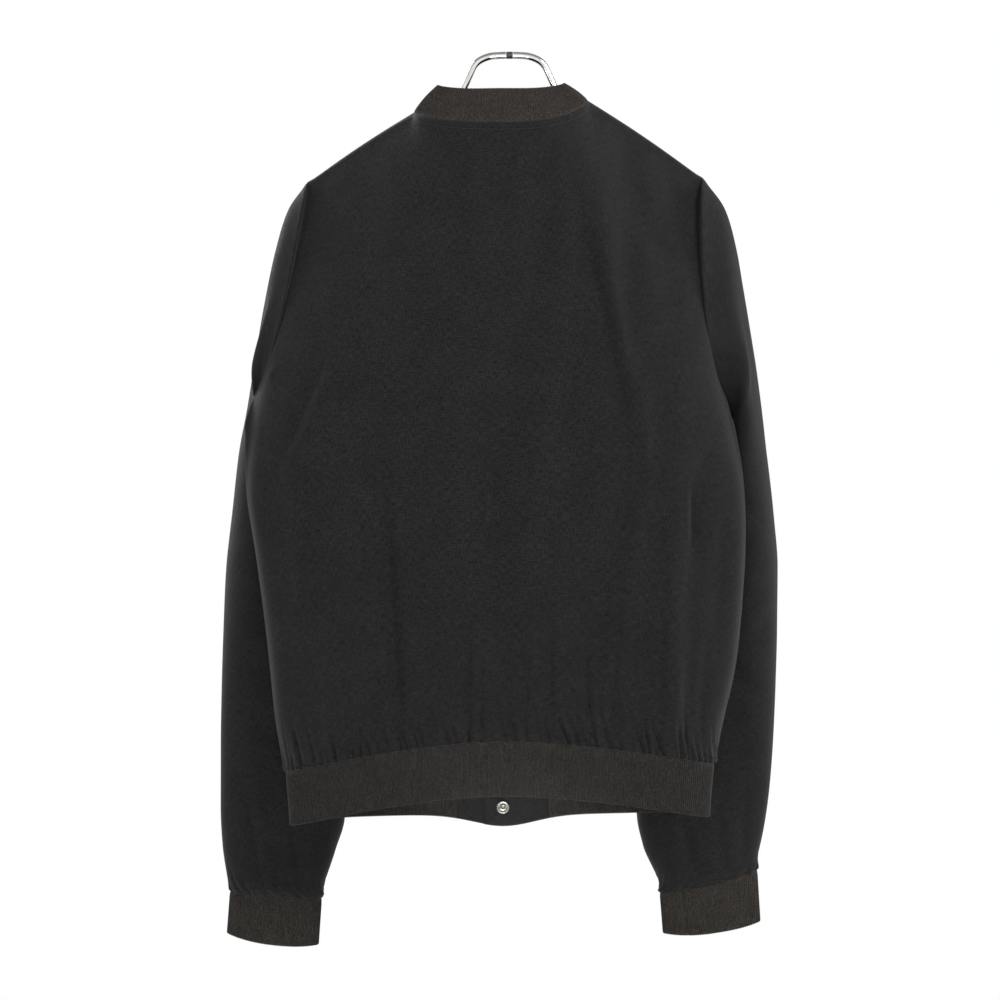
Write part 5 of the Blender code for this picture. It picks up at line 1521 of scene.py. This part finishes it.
def make_hanger():
    """The bent chromed rod, and the joiner between its two halves."""
    halves = [spline([(x * side, 0.0, z) for x, z in zip(ROD["x"], ROD["z"])], 10) for side in (LEFT, RIGHT)]
    rod = line_object("hanger_rod", halves)
    shaped(rod, TUBE, {"Radius": ROD_RADIUS * MM, "Sides": 28, "Finish": CHROME})
    rod.data.shade_smooth()
    rod.data.set_sharp_from_angle(angle=SHARP)
    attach(rod, "root")
    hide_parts("hanger_rod_left", "hanger_rod_right")
    frame["nodes"]["hanger_joiner"].data.materials.clear()
    frame["nodes"]["hanger_joiner"].data.materials.append(JOINER)


# ---------------------------------------------------------------- studio


def make_floor():
    """A pale round floor, well below the jacket."""
    mesh = bpy.data.meshes.new("floor")
    work = bmesh.new()
    place = Matrix.Translation((0, 0, FLOOR_Z))
    bmesh.ops.create_circle(work, cap_ends=True, segments=96, radius=FLOOR_RADIUS, matrix=place)
    work.to_mesh(mesh)
    work.free()
    mesh.materials.append(FLOOR)
    linked("floor", mesh)


def make_walls():
    """Light from white walls all round, dimmer above and below."""
    world_light = bpy.data.worlds.new("studio")
    world_light.use_nodes = True
    sky = world_light.node_tree
    way = node(sky, "ShaderNodeTexCoord").outputs["Generated"]
    steep = number(sky, "ABSOLUTE", node(sky, "ShaderNodeSeparateXYZ", {0: way}).outputs["Z"])
    dim = node(sky, "ShaderNodeMapRange", {"Value": steep, **WALLS}).outputs[0]
    sky.links.new(dim, sky.nodes["Background"].inputs["Strength"])
    sky.nodes["Background"].inputs["Color"].default_value = (1, 1, 1, 1)
    bpy.context.scene.world = world_light


def make_studio():
    """Floor, walls, soft lamps and a level camera behind the jacket."""
    make_floor()
    make_walls()
    for name, (place, target, size, power, beam) in LAMPS.items():
        lamp = bpy.data.lights.new(name, "AREA")
        lamp.shape, lamp.size, lamp.energy, lamp.spread = "DISK", size, power, math.radians(beam)
        made = linked(name, lamp)
        made.location = place
        made.rotation_euler = (Vector(target) - Vector(place)).to_track_quat("-Z", "Y").to_euler()
    lens = bpy.data.cameras.new("camera")
    lens.sensor_width, lens.lens = 36.0, CAMERA_LENS
    camera = linked("camera", lens)
    camera.location = CAMERA_PLACE
    camera.rotation_euler = (math.pi / 2, 0, math.pi)
    bpy.context.scene.camera = camera
    bpy.context.scene.view_settings.view_transform = "Standard"


RIBS, STITCHES, TUBE = rib_tree(), stitch_tree(), tube_tree()

make_studio()
make_hanger()
back_cloth = make_back()
make_hem_rib()
make_collar()
for each in (LEFT, RIGHT):
    make_front(each)
    make_placket(each)
    make_hem_tab(each)
    make_sleeve(each)
    make_cuff(each)
make_snaps()
make_topstitching(*back_cloth)
